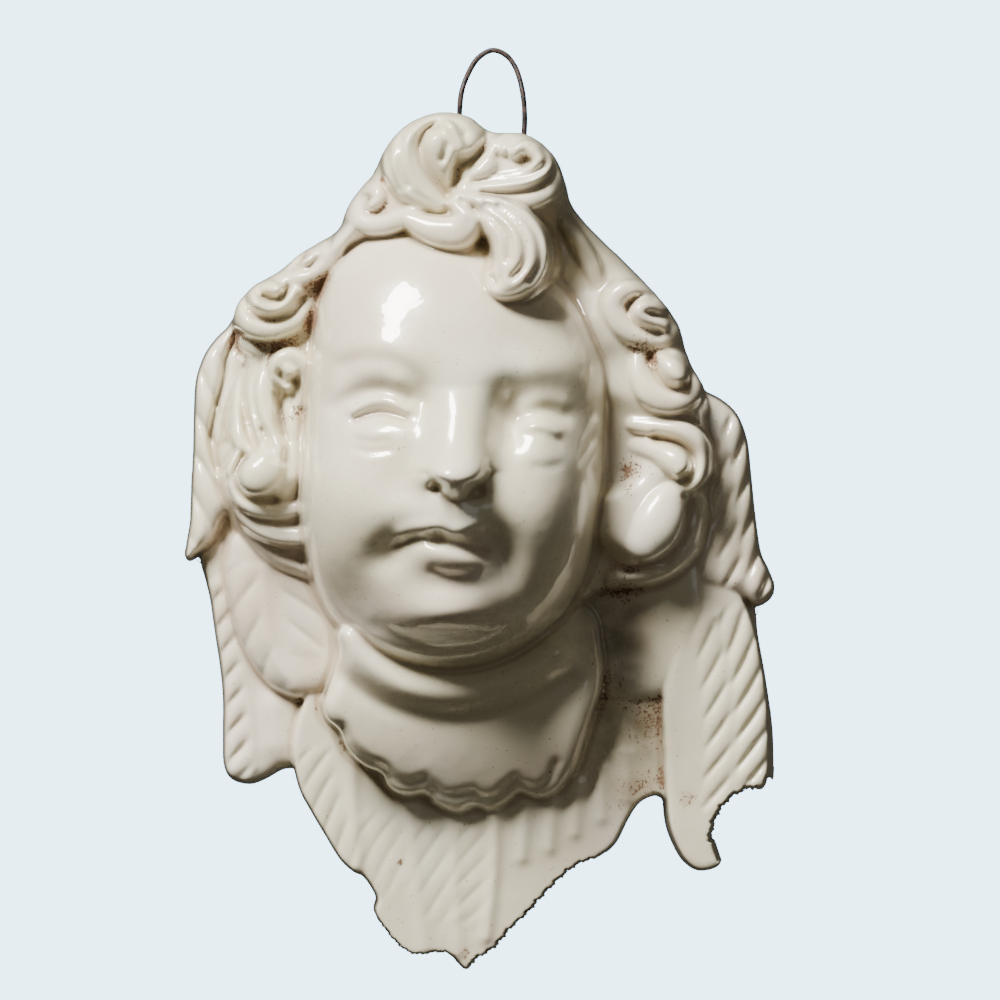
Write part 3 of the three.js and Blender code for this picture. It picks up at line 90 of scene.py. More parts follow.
LEFT_LOWER_WING = [
    (196, 552), (202, 583), (206, 600), (211, 635), (216, 668), (219, 700), (219, 740), (220, 768),
    (228, 783), (246, 788), (262, 783), (280, 773), (297, 768), (316, 735), (318, 690), (280, 620),
    (240, 550), (215, 530),
]
LEFT_COVERT = [
    (232, 530), (221, 560), (222, 592), (229, 625), (241, 656), (262, 686), (290, 702), (317, 700),
    (343, 688), (372, 665), (372, 620), (330, 560), (270, 530),
]
TAIL = [
    (300, 704), (291, 735), (290, 762), (297, 793), (309, 816), (322, 838), (338, 864), (352, 877),
    (362, 882), (374, 901), (372, 914), (379, 931), (396, 952), (414, 962), (436, 960), (450, 962),
    (465, 976), (481, 965), (497, 955), (513, 936), (532, 918), (552, 896), (575, 875), (600, 862),
    (617, 848), (630, 823), (641, 807), (656, 799), (676, 796), (690, 690), (560, 680), (450, 680),
    (318, 672),
]
RIGHT_UPPER_WING = [
    (690, 380), (706, 389), (724, 398), (740, 413), (750, 438), (754, 470), (758, 510), (764, 552),
    (772, 570), (778, 588), (773, 601), (758, 608), (742, 600), (712, 592), (688, 570), (680, 480),
]
RIGHT_BACK_WING = [
    (742, 570), (757, 602), (762, 642), (768, 676), (774, 712), (777, 745), (776, 791), (765, 793),
    (750, 780), (735, 700), (728, 630),
]
RIGHT_LONG_FEATHER = [
    (706, 564), (738, 586), (756, 622), (765, 660), (771, 700), (773, 745), (772, 778), (766, 793),
    (748, 797), (731, 809), (720, 828), (719, 846), (724, 865), (716, 873), (700, 875), (686, 866),
    (676, 850), (668, 828), (665, 798), (663, 750), (662, 700), (672, 650), (690, 600),
]
RIGHT_COVERT = [
    (600, 560), (664, 548), (706, 554), (715, 602), (706, 645), (692, 680), (664, 703), (630, 705),
    (595, 700), (566, 670), (560, 620), (580, 580),
]
CHEST = [
    (345, 620), (336, 655), (326, 685), (320, 704), (324, 720), (337, 733), (342, 746), (351, 759),
    (364, 770), (379, 777), (384, 788), (394, 797), (408, 801), (425, 800), (431, 808), (445, 815),
    (461, 818), (475, 813), (487, 816), (502, 813), (514, 804), (521, 798), (533, 803), (548, 803),
    (561, 796), (571, 782), (580, 768), (588, 742), (596, 715), (604, 690), (604, 650), (580, 600),
    (450, 590),
]

# Locks: number of strands and spine (right, down, half width in drawing units, crown depth in mm)
LOCKS = [
    # lower left, two bands
    (2, [(222, 500, 7, 31), (232, 526, 9, 32), (252, 549, 10, 34), (280, 564, 10, 36), (308, 575, 9, 38)]),
    (2, [(234, 494, 7, 40), (248, 519, 9, 42), (274, 533, 10, 44), (306, 536, 10, 46)]),
    # lower right bands
    (3, [(696, 490, 9, 40), (702, 520, 12, 42), (692, 550, 14, 42), (662, 571, 14, 42), (616, 580, 12, 42)]),
    # outer band right
    (1, [(700, 428, 7, 34), (716, 448, 8, 36), (721, 474, 9, 37), (712, 496, 8, 38)]),
    # side left
    (1, [(228, 396, 7, 34), (219, 424, 8, 36), (215, 446, 8, 37), (223, 462, 7, 38)]),
    (1, [(238, 364, 8, 36), (234, 398, 11, 40), (236, 426, 11, 43), (246, 450, 9, 46)]),
    # hook on the wing
    (1, [(228, 338, 6, 31), (232, 358, 7, 31), (227, 378, 8, 31), (214, 386, 8, 30), (206, 375, 6, 30),
         (212, 365, 5, 29)]),
    # under curl left
    (1, [(300, 331, 7, 42), (285, 345, 8, 42), (262, 350, 8, 41), (242, 341, 7, 39), (232, 326, 6, 36)]),
    # big curl left
    (1, [(306, 300, 8, 46), (293, 320, 12, 50), (267, 328, 13, 52), (244, 318, 12, 51), (238, 301, 10, 50),
         (250, 287, 9, 50), (266, 278, 9, 50), (282, 279, 8, 50)]),
    (1, [(297, 292, 7, 51), (286, 307, 9, 54), (268, 310, 9, 55), (254, 301, 8, 55), (256, 290, 7, 54),
         (268, 286, 7, 54), (277, 290, 6, 55)]),
    # small curl left
    (1, [(314, 241, 7, 50), (326, 250, 8, 52), (322, 267, 9, 52), (304, 278, 9, 51), (288, 277, 8, 49),
         (284, 267, 7, 48), (294, 252, 7, 49), (307, 248, 6, 51), (314, 257, 6, 52), (304, 264, 5, 52)]),
    # hairline left
    (1, [(356, 226, 7, 58), (342, 240, 8, 56), (333, 262, 7, 52), (326, 284, 6, 48)]),
    # falls left
    (2, [(270, 360, 11, 44), (262, 390, 16, 48), (266, 420, 16, 51), (272, 452, 13, 54)]),
    (1, [(296, 398, 8, 44), (292, 424, 11, 47), (284, 452, 9, 50)]),
    # ear curl left
    (1, [(300, 404, 6, 46), (307, 385, 8, 48), (304, 367, 9, 50), (291, 357, 9, 51), (279, 362, 8, 51),
         (277, 375, 7, 50), (287, 384, 6, 50)]),
    (1, [(287, 369, 7, 52), (290, 372, 7, 52)]),
    # low curl left
    (1, [(240, 456, 6, 46), (231, 474, 7, 47), (236, 492, 8, 47), (250, 505, 9, 48), (274, 511, 9, 48),
         (298, 508, 8, 48)]),
    (1, [(276, 446, 12, 54), (268, 466, 18, 58), (260, 476, 21, 59), (255, 478, 18, 58)]),
    # back strands
    (2, [(566, 208, 9, 48), (590, 234, 12, 45), (614, 258, 12, 43), (640, 284, 9, 41)]),
    (1, [(566, 222, 7, 52), (580, 244, 9, 50), (592, 266, 9, 48), (600, 290, 7, 46)]),
    # curl right 1
    (1, [(658, 300, 9, 50), (640, 291, 10, 54), (621, 293, 11, 55), (613, 308, 12, 55), (624, 327, 13, 55),
         (646, 337, 13, 54), (668, 337, 11, 51), (680, 331, 7, 47)]),
    (1, [(660, 306, 8, 54), (646, 304, 8, 57), (637, 313, 8, 58), (646, 323, 8, 57), (662, 326, 7, 54)]),
    # curl right 2
    (1, [(638, 352, 8, 50), (639, 375, 11, 53), (650, 394, 13, 55), (671, 402, 13, 55), (689, 395, 11, 53),
         (695, 380, 10, 51), (688, 366, 9, 51), (674, 360, 8, 53)]),
    (1, [(662, 364, 11, 56), (673, 373, 14, 59), (678, 378, 10, 59)]),
    # curl right 3
    (1, [(634, 424, 8, 48), (658, 428, 10, 51), (684, 434, 12, 53), (701, 450, 12, 52), (702, 468, 12, 52),
         (690, 484, 9, 52)]),
    (1, [(636, 446, 9, 46), (656, 450, 12, 51), (674, 460, 14, 56), (680, 468, 11, 57)]),
    # ball right
    (1, [(678, 488, 13, 50), (664, 507, 22, 54), (655, 526, 26, 56), (646, 540, 22, 55)]),
    # top left beside the crown
    (2, [(404, 204, 9, 62), (392, 184, 11, 58), (385, 165, 9, 54)]),
    (1, [(420, 210, 8, 68), (400, 222, 10, 67), (377, 227, 10, 63), (358, 220, 10, 59), (350, 205, 9, 56),
         (358, 191, 8, 56), (372, 189, 8, 59), (380, 199, 7, 61), (373, 207, 5, 61)]),
    # crown curl left
    (3, [(438, 204, 10, 70), (414, 186, 20, 71), (404, 160, 22, 71), (413, 134, 19, 70), (438, 121, 13, 69),
         (462, 123, 12, 69), (474, 138, 12, 69), (466, 153, 10, 71)]),
    (1, [(452, 194, 6, 68), (438, 174, 10, 71), (431, 154, 11, 73), (436, 137, 9, 73), (448, 132, 8, 73),
         (456, 143, 7, 73), (460, 151, 6, 73)]),
    (1, [(453, 190, 6, 68), (447, 170, 9, 71), (447, 153, 9, 73)]),
    (1, [(446, 184, 7, 69), (439, 165, 9, 72), (440, 148, 10, 73), (448, 140, 9, 73)]),
    # crown curl right
    (1, [(474, 186, 8, 70), (486, 168, 12, 69), (496, 150, 12, 67)]),
    (1, [(458, 200, 8, 72), (486, 204, 11, 72), (516, 203, 13, 71), (543, 194, 13, 69), (557, 177, 12, 67),
         (556, 159, 11, 66), (545, 146, 10, 66), (527, 138, 9, 67), (510, 139, 9, 68), (502, 150, 8, 69)]),
    (1, [(464, 190, 7, 70), (500, 187, 10, 72), (527, 182, 10, 73), (542, 169, 10, 73), (539, 156, 9, 72),
         (526, 150, 8, 72), (515, 155, 6, 71)]),
    # fore left
    (2, [(458, 204, 10, 75), (470, 220, 16, 78), (460, 234, 18, 77), (436, 233, 15, 75), (410, 222, 9, 71)]),
    # forelock
    (4, [(464, 205, 8, 76), (490, 215, 17, 81), (513, 234, 25, 85), (521, 257, 28, 87), (516, 278, 23, 87),
         (503, 287, 15, 86), (494, 280, 8, 84)]),
]

# Face: edge radius in drawing units every 30 degrees, counted from the right and upwards
FACE_CENTRE = (455, 440)
FACE_RADII = (150, 170, 192, 222, 220, 168, 153, 178, 221, 232, 208, 166)
FACE_REACH, FACE_DROP, FACE_BLEND = (190, 260), 400.0, 1.2
FACE_EDGE, FACE_RISE, FACE_POWER = 40.0, 53.0, 2.25
NOSE_ROOT, NOSE_TIP = (461, 388), (459, 478)
NOSE_RISE, NOSE_UNDER, NOSE_ROUND = 14.0, 22.0, 18.0
NOSE_HALF, NOSE_SPREAD, NOSE_LIFT = 19.0, 6.0, 1.1
NOSE_BESIDE, NOSE_TURN, NOSE_BLOCK = 1.5, 0.7, 2.9

# Soft forms of the face: centre, half widths across and down, tilt in degrees, rise in mm
FACE_FORMS = [
    # eye sockets and the two sides of the nose root
    (384, 404, 34, 20, -4, -5), (541, 411, 29, 18, -6, -5), (513, 405, 19, 17, 0, -1.2),
    (424, 402, 13, 17, 0, -3.5),
    (509, 421, 14, 27, 0, -7.5),
    # brow swellings
    (372, 352, 34, 12, -6, 1.5), (542, 367, 36, 12, 4, 2),
    # cheeks, upper lip, chin and the corners of the mouth
    (344, 498, 36, 44, 0, 6.5), (558, 506, 32, 44, 0, 6.5), (440, 515, 40, 17, -4, 6),
    (438, 600, 46, 20, 0, 5), (448, 617, 31, 13, 0, 6.5), (350, 604, 34, 26, 0, -5.5),
    (393, 550, 18, 12, 32, -5), (500, 552, 13, 20, 15, -6.5),
    # the lids and the swellings under the eyes
    (380, 430, 27, 14, -3, 2), (541, 429, 19, 11, -8, 3.2), (540, 456, 26, 10, -8, 1.6),
]
NOSE_FORMS = [
    # nose tip and wings, nostrils, groove under the nose and lower lip
    (453, 473, 17, 13, 0, 4), (429, 477, 10, 10, 0, 5), (487, 476, 9, 10, 0, 1.2),
    (439, 487, 6, 4, 15, -4), (477, 492, 7, 5, -10, -5), (451, 509, 5, 9, 5, -1),
    (447, 556.5, 28, 12, -10, 5.6), (462, 581, 26, 7, 3, -1.2),
]

# Raised and sunk lines of the face: half width in drawing units, rise in mm, points along the line
FACE_LINES = [
    # folds between brow and lid
    (6, -1, [(345, 366), (362, 360), (386, 361), (408, 370), (422, 384), (425, 400)]),
    (8, 1.2, [(340, 388), (358, 378), (378, 376), (396, 382)]),
    (7, 1.3, [(526, 406), (544, 401), (562, 404)]),
    (5.5, -1.3, [(336, 408), (350, 400), (370, 392), (390, 392), (408, 400)]),
    (5.5, -1.2, [(520, 420), (533, 414), (547, 412), (562, 417)]),
    # upper lids and the slits under them
    (5, 2.4, [(354, 411), (366, 404), (382, 401), (398, 405), (408, 411)]),
    (4.4, 1.4, [(528, 427), (541, 425), (556, 432)]),
    (3.6, -3, [(358, 420), (368, 416.5), (381, 414), (394, 415.5), (406, 419)]),
    (4, -0.8, [(530, 434), (541, 435), (551, 438), (557, 440)]),
    # folds under the eyes
    (2.6, -0.8, [(358, 440), (372, 443), (390, 442)]),
    (3, -0.9, [(358, 449), (372, 452), (392, 450)]),
    (4, -0.6, [(536, 467), (547, 468), (558, 465)]),
    # upper lip, the line of the mouth and the hollow under the lower lip
    (5.6, 2.2, [(404, 533), (414, 529), (428, 527), (441, 527), (454, 531), (467, 527), (479, 522)]),
    (4.6, -1.9, [(400, 545), (410, 540), (424, 537.5), (440, 538)]),
    (5, -2.7, [(438, 537.5), (448, 540), (460, 544), (473, 548.5), (485, 552)]),
    (3.6, -1.2, [(434, 570), (448, 575), (463, 575), (480, 569)]),
    # crease and roll under the chin
    (6, -1, [(380, 625), (407, 638), (445, 645), (485, 640), (516, 624)]),
    (8, 1.2, [(372, 640), (412, 656), (450, 662), (490, 657), (532, 636)]),
]

# Furrows between the locks: half width in drawing units, rise in mm, points along the line
FURROWS = [
    # crown, left and right of the parting
    (4.2, -5.2, [(449, 197), (437, 182), (427, 163), (422, 147), (427, 135), (439, 128)]),
    (2.6, -2.2, [(432, 130), (441, 131), (447, 140), (447, 152), (443, 162)]),
    (4.5, -5, [(486, 138), (482, 151), (470, 161), (458, 170), (454, 184)]),
    (2.2, -2, [(388, 150), (390, 170), (399, 192)]),
    (2.2, -2, [(402, 142), (402, 165), (409, 188)]),
    (3, -3.5, [(472, 184), (505, 181), (532, 176), (547, 164), (544, 150)]),
    (2.6, -3, [(484, 196), (515, 194), (540, 187), (554, 174)]),
    (4, -1.8, [(522, 160), (524, 156)]),
    (2.4, -2.5, [(498, 160), (499, 147), (507, 141)]),
    # forelock
    (2.4, -2.5, [(474, 210), (494, 222), (507, 240), (508, 262)]),
    (2.4, -2.5, [(486, 208), (508, 220), (523, 240), (525, 265), (512, 280)]),
    (2.2, -2.5, [(500, 208), (522, 220), (537, 240), (540, 266), (530, 284)]),
    (4, -5, [(491, 279), (495, 284)]),
    (3, -3.5, [(462, 203), (478, 216), (482, 232), (478, 246)]),
    # curls right
    (3, -3.2, [(652, 299), (636, 299), (629, 311), (638, 325), (658, 333)]),
    (3.4, -4.5, [(652, 360), (660, 376), (674, 388), (688, 384), (692, 373)]),
    (3.4, -4.5, [(656, 438), (678, 443), (692, 455), (692, 470), (684, 479)]),
    (2.2, -2.5, [(684, 496), (690, 520), (682, 544), (660, 562), (628, 570)]),
    (2.2, -2, [(692, 500), (697, 524), (688, 550), (664, 568)]),
    # curls left
    (3.2, -4.5, [(246, 300), (252, 312), (270, 319), (289, 313), (300, 299)]),
    (2.4, -3, [(258, 291), (264, 300), (277, 302), (287, 293)]),
    (2.8, -3, [(280, 374), (285, 384), (293, 381)]),
    (2.6, -3, [(299, 262), (306, 268), (318, 259)]),
    (2.4, -3, [(243, 366), (243, 400), (249, 428), (258, 446)]),
    (2.4, -2.5, [(263, 430), (272, 446), (276, 458)]),
    (2.4, -3, [(284, 396), (278, 420), (284, 440)]),
    (3, -4, [(243, 456), (237, 474), (241, 490), (254, 499), (274, 500)]),
    # left wing against the hair, and the falls beside it
    (2.6, -4.5, [(236, 332), (226, 352), (221, 380), (213, 412), (209, 440), (214, 464), (224, 480)]),
    (2.2, -3, [(246, 356), (240, 380), (240, 404), (247, 428), (254, 446)]),
    (2.2, -3, [(260, 360), (253, 382), (254, 406), (262, 430), (268, 450)]),
    (2.2, -3, [(276, 394), (281, 418), (287, 440), (284, 462)]),
    # folds of the bust's rim
    (4, -1.8, [(342, 728), (352, 746), (364, 759), (380, 767)]),
    (4, -1.8, [(386, 772), (396, 781), (410, 784), (424, 780)]),
    (4, -1.8, [(432, 787), (444, 796), (458, 797), (473, 793)]),
    (4, -1.8, [(480, 799), (494, 799), (506, 789), (516, 780)]),
    (4, -1.6, [(524, 786), (538, 789), (550, 780), (556, 764)]),
]

# Feather barbs: spine, half width, slant, pitch and rise. Quills: half width, rise and line.
WINGS = [
    dict(outline=BACKING, depth=17, rim=4, draft=2),
    dict(outline=RIGHT_BACK_WING, depth=18, rim=3, draft=1),
    dict(outline=LEFT_LOWER_WING, depth=17, right=0.02, origin=(240, 700), rim=5, draft=0.8, barbs=[
        ([(208, 575), (216, 620), (226, 680), (232, 730), (238, 782)], 15, 0.9, 26, 3)], quills=[
        (4, 1.2, [(224, 590), (236, 650), (246, 700), (250, 768)]), (13, 2.5, [(272, 712), (272, 745)])]),
    dict(outline=LEFT_UPPER_WING, depth=24, right=0.03, origin=(205, 450), rim=7, draft=0.8, barbs=[
        ([(216, 345), (205, 385), (202, 430), (203, 480), (196, 548)], 18, -1.5, 42, 3.4)]),
    dict(outline=RIGHT_UPPER_WING, depth=32, right=-0.05, origin=(735, 480), rim=8, draft=0.8, barbs=[
        ([(734, 410), (744, 450), (752, 500), (760, 550), (768, 600)], 17, 1.5, 36, 4),
        ([(716, 440), (722, 480), (728, 530), (734, 590)], 13, 1.4, 34, 3)]),
    dict(outline=TAIL, depth=22, down=-0.02, origin=(470, 860), rim=2.6, draft=0.6, barbs=[
        ([(312, 745), (318, 790), (334, 835), (352, 872)], 19, 1.1, 26, 1.2),
        ([(378, 812), (382, 850), (396, 900)], 26, 1.1, 25, 0.6),
        ([(430, 822), (436, 870), (446, 930)], 22, 1.1, 25, 0.6),
        ([(475, 822), (474, 870), (468, 930)], 20, 1.2, 25, 0.6)], quills=[
        (5, 1.2, [(352, 735), (352, 800), (356, 868)]), (6, 0.9, [(408, 805), (414, 870), (424, 950)]),
        (5, 0.7, [(452, 815), (455, 880), (458, 955)]), (5, 1.5, [(494, 805), (494, 870), (486, 940)]),
        (5, 1.2, [(526, 800), (522, 860)]), (5, 1.2, [(553, 795), (550, 850)]),
        (5, 1.2, [(578, 785), (575, 835)]), (5, 1.2, [(602, 770), (602, 820)]),
        (5, 1.2, [(626, 755), (628, 800)])]),
    dict(outline=RIGHT_LONG_FEATHER, depth=31, right=-0.03, origin=(700, 700), rim=3.8, draft=0.6, barbs=[
        ([(728, 605), (744, 655), (752, 715), (752, 790)], 17, 1.3, 30, 2.8),
        ([(702, 610), (714, 670), (720, 740), (716, 820)], 15, 1.3, 31, 1.9)]),
    dict(outline=LEFT_COVERT, depth=29, right=0.05, down=-0.02, origin=(280, 620), rim=10, draft=1, barbs=[
        ([(238, 560), (242, 610), (256, 660), (276, 700)], 19, 1.1, 39, 1.8),
        ([(292, 570), (302, 610), (308, 660)], 18, -1.0, 34, 1.5)], quills=[
        (5, 0.9, [(262, 570), (268, 640), (290, 690)])]),
    dict(outline=RIGHT_COVERT, depth=31, right=0.02, down=-0.02, origin=(640, 630), rim=9, draft=1),
]
BUST_DEPTH, BUST_RIGHT, BUST_MIDDLE = 46.0, -0.03, (430, 700)
BUST_SPAN, BUST_BELOW, BUST_FALL, BUST_ABOVE = 90.0, 1.2, 10.0, 0.2
BUST_RIM, BUST_DRAFT, BUST_EDGE, BUST_BLEND = 7.0, 0.8, 1.1, 2.0
NECK_ROLL = (15, 9, [(346, 630), (368, 660), (400, 681), (440, 690), (480, 688), (520, 676), (556, 652)])
NECK_FOLD = (7, -1.5, [(336, 672), (380, 702), (430, 716), (470, 716), (520, 706), (570, 676)])

# Hollow back: edge radius in drawing units every 30 degrees, counted from the right and upwards
HOLLOW_CENTRE = (460, 450)
HOLLOW_RADII = (250, 220, 218, 298, 212, 226, 232, 250, 315, 430, 340, 295)

# Brown stains: right, down and half width in drawing units, strength
STAINS = [
    (305, 255, 9, 0.8), (318, 285, 12, 0.9), (312, 320, 9, 0.9), (275, 348, 22, 0.55), (240, 338, 12, 0.6),
    (213, 350, 7, 0.7), (293, 415, 8, 0.8), (485, 145, 12, 0.35), (452, 180, 12, 0.4), (525, 158, 13, 0.3),
    (372, 203, 14, 0.45), (330, 236, 18, 0.3), (640, 345, 10, 0.9), (652, 358, 9, 0.9), (630, 470, 9, 0.9),
    (628, 490, 8, 0.7), (622, 588, 16, 0.75), (650, 715, 18, 0.7), (600, 700, 10, 0.5),
    (612, 690, 20, 0.45), (648, 740, 16, 0.45), (645, 797, 22, 0.8),
    (688, 800, 8, 0.7), (462, 960, 8, 1.0), (400, 865, 3, 1.0), (383, 180, 3, 0.9), (318, 815, 8, 0.6),
    (345, 745, 5, 0.6), (306, 706, 12, 0.4), (560, 765, 12, 0.4), (275, 780, 14, 0.25), (372, 900, 4, 0.9),
]

# Painted shade, partly brown dirt, on the folds that lie in shadow at the right covert, the tail and the
# back strands: right, down and half width in drawing units, strength
SHADE_AND_GRIME = [
    (612, 640, 17, 0.85), (632, 645, 15, 0.75), (634, 618, 15, 0.6), (632, 676, 15, 0.7),
    (600, 610, 16, 0.6), (640, 728, 16, 0.7), (644, 760, 14, 0.65), (622, 745, 18, 0.55),
    (604, 715, 14, 0.5), (632, 790, 13, 0.45),
    (572, 225, 12, 0.5), (588, 250, 12, 0.5), (604, 276, 11, 0.4), (560, 205, 10, 0.35),
]

# Broken edges: outline, length of the teeth in drawing units and the line that they follow
BROKEN_EDGES = [
    (TAIL, 4.5, [(468, 974), (500, 952), (530, 920), (556, 892), (596, 864)]),
    (RIGHT_LONG_FEATHER, 5.0, [(764, 793), (746, 799), (730, 811), (720, 830), (720, 848)]),
    (TAIL, 2.5, [(376, 926), (396, 951), (420, 961), (450, 962)]),
]

# Wire loop: right and down in drawing units, from the bent end inside the left hole over the crown
LOOP = [
    (438, 181), (450, 179), (458, 168), (459, 140), (459, 110), (461, 88), (467, 70), (477, 53),
    (492, 44.3), (507, 50), (517, 65), (523, 88), (525, 112), (524, 140), (524, 178), (528, 192),
    (536, 196),
]


def clamp01(t):
    return np.clip(t, 0, 1)


def to_right(u):
    return (u - NAIL[0]) * UNIT


def to_up(v):
    return (NAIL[1] - v) * UNIT


def to_scene(u, v, depth):
    """Points in metres from places in the drawing and depths."""
    return np.stack([to_right(u), -depth, to_up(v)], -1) * MM


def arch(f):
    """Round arch over a share from 0 to 1."""
    return np.sqrt(clamp01(1 - (2 * f - 1) ** 2))


def smooth_max(a, b, k):
    h = clamp01(0.5 + 0.5 * (a - b) / k)
    return b + (a - b) * h + k * h * (1 - h)


def curve(rows, closed=False, steps=5):
    """Catmull-Rom curve through rows of numbers."""
    p = np.array(rows, float)
    n = len(p)
    t = (np.arange(steps) / steps)[:, None]
    out = []
    for i in range(n if closed else n - 1):
        if closed:
            a, b, c, d = p[i - 1], p[i], p[(i + 1) % n], p[(i + 2) % n]
        else:
            a, b, c, d = p[max(i - 1, 0)], p[i], p[i + 1], p[min(i + 2, n - 1)]
        bend = (2 * a - 5 * b + 4 * c - d) * t**2
        twist = (3 * b - a - 3 * c + d) * t**3
        out.append(0.5 * (2 * b + (c - a) * t + bend + twist))
    if not closed:
        out.append(p[-1:])
    return np.concatenate(out)


class Relief:
    """Depth from the wall over a grid of the drawing: columns run right and rows run up."""

    def __init__(self):
        step = CELL / UNIT
        self.us = np.arange(FIELD_LEFT, FIELD_RIGHT, step)
        self.vs = np.arange(FIELD_BOTTOM, FIELD_TOP, -step)
        self.u, self.v = np.meshgrid(self.us, self.vs)
        self.depth = np.full(self.u.shape, FLOOR)
        self.limit = np.full(self.u.shape, FLOOR)
        self.fall = np.zeros(self.u.shape)
        self.step = step

    def patch(self, points, margin):
        """Part of the grid around some points, with its places in the drawing."""
        points = np.asarray(points)
        i0 = max(0, int((points[:, 0].min() - margin - FIELD_LEFT) / self.step))
        i1 = int((points[:, 0].max() + margin - FIELD_LEFT) / self.step) + 2
        j0 = max(0, int((FIELD_BOTTOM - points[:, 1].max() - margin) / self.step))
        j1 = int((FIELD_BOTTOM - points[:, 1].min() + margin) / self.step) + 2
        win = slice(j0, j1), slice(i0, i1)
        return win, self.u[win], self.v[win]

    def sample(self, grid, u, v):
        """Value of a grid between its points."""
        x = np.clip((u - FIELD_LEFT) / self.step, 0, len(self.us) - 1.001)
        y = np.clip((FIELD_BOTTOM - v) / self.step, 0, len(self.vs) - 1.001)
        i, j = x.astype(int), y.astype(int)
        fx, fy = x - i, y - j
        return ((grid[j, i] * (1 - fx) + grid[j, i + 1] * fx) * (1 - fy)
                + (grid[j + 1, i] * (1 - fx) + grid[j + 1, i + 1] * fx) * fy)


def pieces(points, u, v):
    """Start and direction of each piece of a line, the share along it and the squared distance."""
    for a, b in zip(points[:-1], points[1:]):
        d = b - a
        square = d[0] * d[0] + d[1] * d[1] + NO_LENGTH
        t = clamp01(((u - a[0]) * d[0] + (v - a[1]) * d[1]) / square)
        yield a, d, t, (u - a[0] - t * d[0]) ** 2 + (v - a[1] - t * d[1]) ** 2


def nearest(points, u, v):
    """Squared distance to a line, the place along it, the distance to its left and its length."""
    best = np.full(u.shape, np.inf)
    along, across = np.zeros(u.shape), np.zeros(u.shape)
    run = 0.0
    for a, d, t, gap in pieces(points, u, v):
        length = math.hypot(d[0], d[1])
        near = gap < best
        best = np.where(near, gap, best)
        along = np.where(near, run + t * length, along)
        across = np.where(near, ((u - a[0]) * d[1] - (v - a[1]) * d[0]) / length, across)
        run += length
    return best, along, across, run


def inside_by(points, u, v):
    """Distance in drawing units to a closed outline, positive inside."""
    best = np.full(u.shape, np.inf)
    inside = np.zeros(u.shape, bool)
    for a, d, _, gap in pieces(np.concatenate([points, points[:1]]), u, v):
        best = np.minimum(best, gap)
        if d[1] != 0:
            spans = (a[1] > v) != (a[1] + d[1] > v)
            inside ^= spans & (u < a[0] + d[0] * (v - a[1]) / d[1])
    return np.where(inside, 1, -1) * np.sqrt(best)


def along_line(line, width, u, v):
    """Rounded ridge along a line, 1 on the line."""
    best = nearest(curve(line), u, v)[0]
    return np.exp(-0.5 * best / width**2)


def soft_form(form, u, v):
    """Soft round form, 1 at its centre."""
    cu, cv, su, sv, tilt = form[:5]
    a = math.radians(tilt)
    du, dv = u - cu, cv - v
    x = du * math.cos(a) + dv * math.sin(a)
    y = dv * math.cos(a) - du * math.sin(a)
    return np.exp(-0.5 * ((x / su) ** 2 + (y / sv) ** 2))


def barb_rise(strip, u, v):
    """Slanted lobes along a spine, the barbs of a feather."""
    spine, half, slant, pitch, rise = strip
    best, along, across, run = nearest(curve(spine), u, v)
    f = np.mod((along + slant * across) / pitch, 1)
    end = clamp01(np.minimum(along, run - along) / BARB_FADE)
    return rise * (arch(f) - BARB_SINK) * np.sqrt(clamp01(1 - best / half**2)) * end


def raise_plate(relief, outline, crown, rim, draft, fall=0.8, blend=0.5):
    """Raises a plate with a rounded edge inside an outline."""
    points = curve(outline, True)
    win, u, v = relief.patch(points, PLATE_MARGIN)
    distance = inside_by(points, u, v) * UNIT - draft
    top = crown(u, v)
    t = clamp01(1 - distance / rim)
    depth = top - rim * fall * (1 - np.sqrt(1 - t * t))
    depth = np.where(distance < 0, np.maximum(top - rim * fall, PLATE_LEAST) * (1 + distance / draft), depth)
    relief.depth[win] = smooth_max(relief.depth[win], depth, blend)


def lay_lock(relief, strands, spine):
    """Lays a tapering lock of hair along its spine, with grooves between its strands."""
    points = curve(spine, steps=6)
    win, u, v = relief.patch(points, max(row[2] for row in spine) + LOCK_MARGIN)
    best = np.full(u.shape, FLOOR)
    offset, along = np.zeros(u.shape), np.zeros(u.shape)
    spans = len(points) - 1
    for i, (a, d, t, square) in enumerate(pieces(points, u, v)):
        gap = np.sqrt(square)
        width = a[2] + d[2] * t
        crown = a[3] + d[3] * t
        drop = width * UNIT * LOCK_ROUND
        q = gap / width
        depth = np.where(q < 1, crown - drop * (1 - np.sqrt(clamp01(1 - q * q))),
                         crown - drop - (gap - width) * UNIT * LOCK_SIDE)
        near = depth > best
        best = np.where(near, depth, best)
        side = np.sign((u - a[0]) * d[1] - (v - a[1]) * d[0])
        offset = np.where(near, q * side, offset)
        along = np.where(near, (i + t) / spans, along)
    if strands > 1:
        f = np.mod((np.clip(offset, -1, 1) + 1) / 2 * strands, 1)
        best += STRAND_GROOVE * (arch(f) - 1) * clamp01(STRAND_END - along)
    best = np.minimum(best - relief.fall[win], relief.limit[win])
    relief.depth[win] = smooth_max(relief.depth[win], best, LOCK_BLEND)


def edge_radius(radii, angle):
    rows = curve([(r,) for r in radii], True, steps=20)[:, 0]
    k = np.mod(angle / (2 * math.pi), 1) * len(rows)
    i = np.floor(k).astype(int) % len(rows)
    return rows[i] + (rows[(i + 1) % len(rows)] - rows[i]) * (k - np.floor(k))


def raise_wings(relief):
    for wing in WINGS:
        def crown(u, v):
            origin = wing.get("origin", (0, 0))
            top = wing["depth"] + wing.get("right", 0) * (u - origin[0])
            top = top + wing.get("down", 0) * (v - origin[1])
            for strip in wing.get("barbs", []):
                top = top + barb_rise(strip, u, v)
            for width, rise, line in wing.get("quills", []):
                top = top + rise * along_line(line, width, u, v)
            return top

        raise_plate(relief, wing["outline"], crown, wing["rim"], wing["draft"])


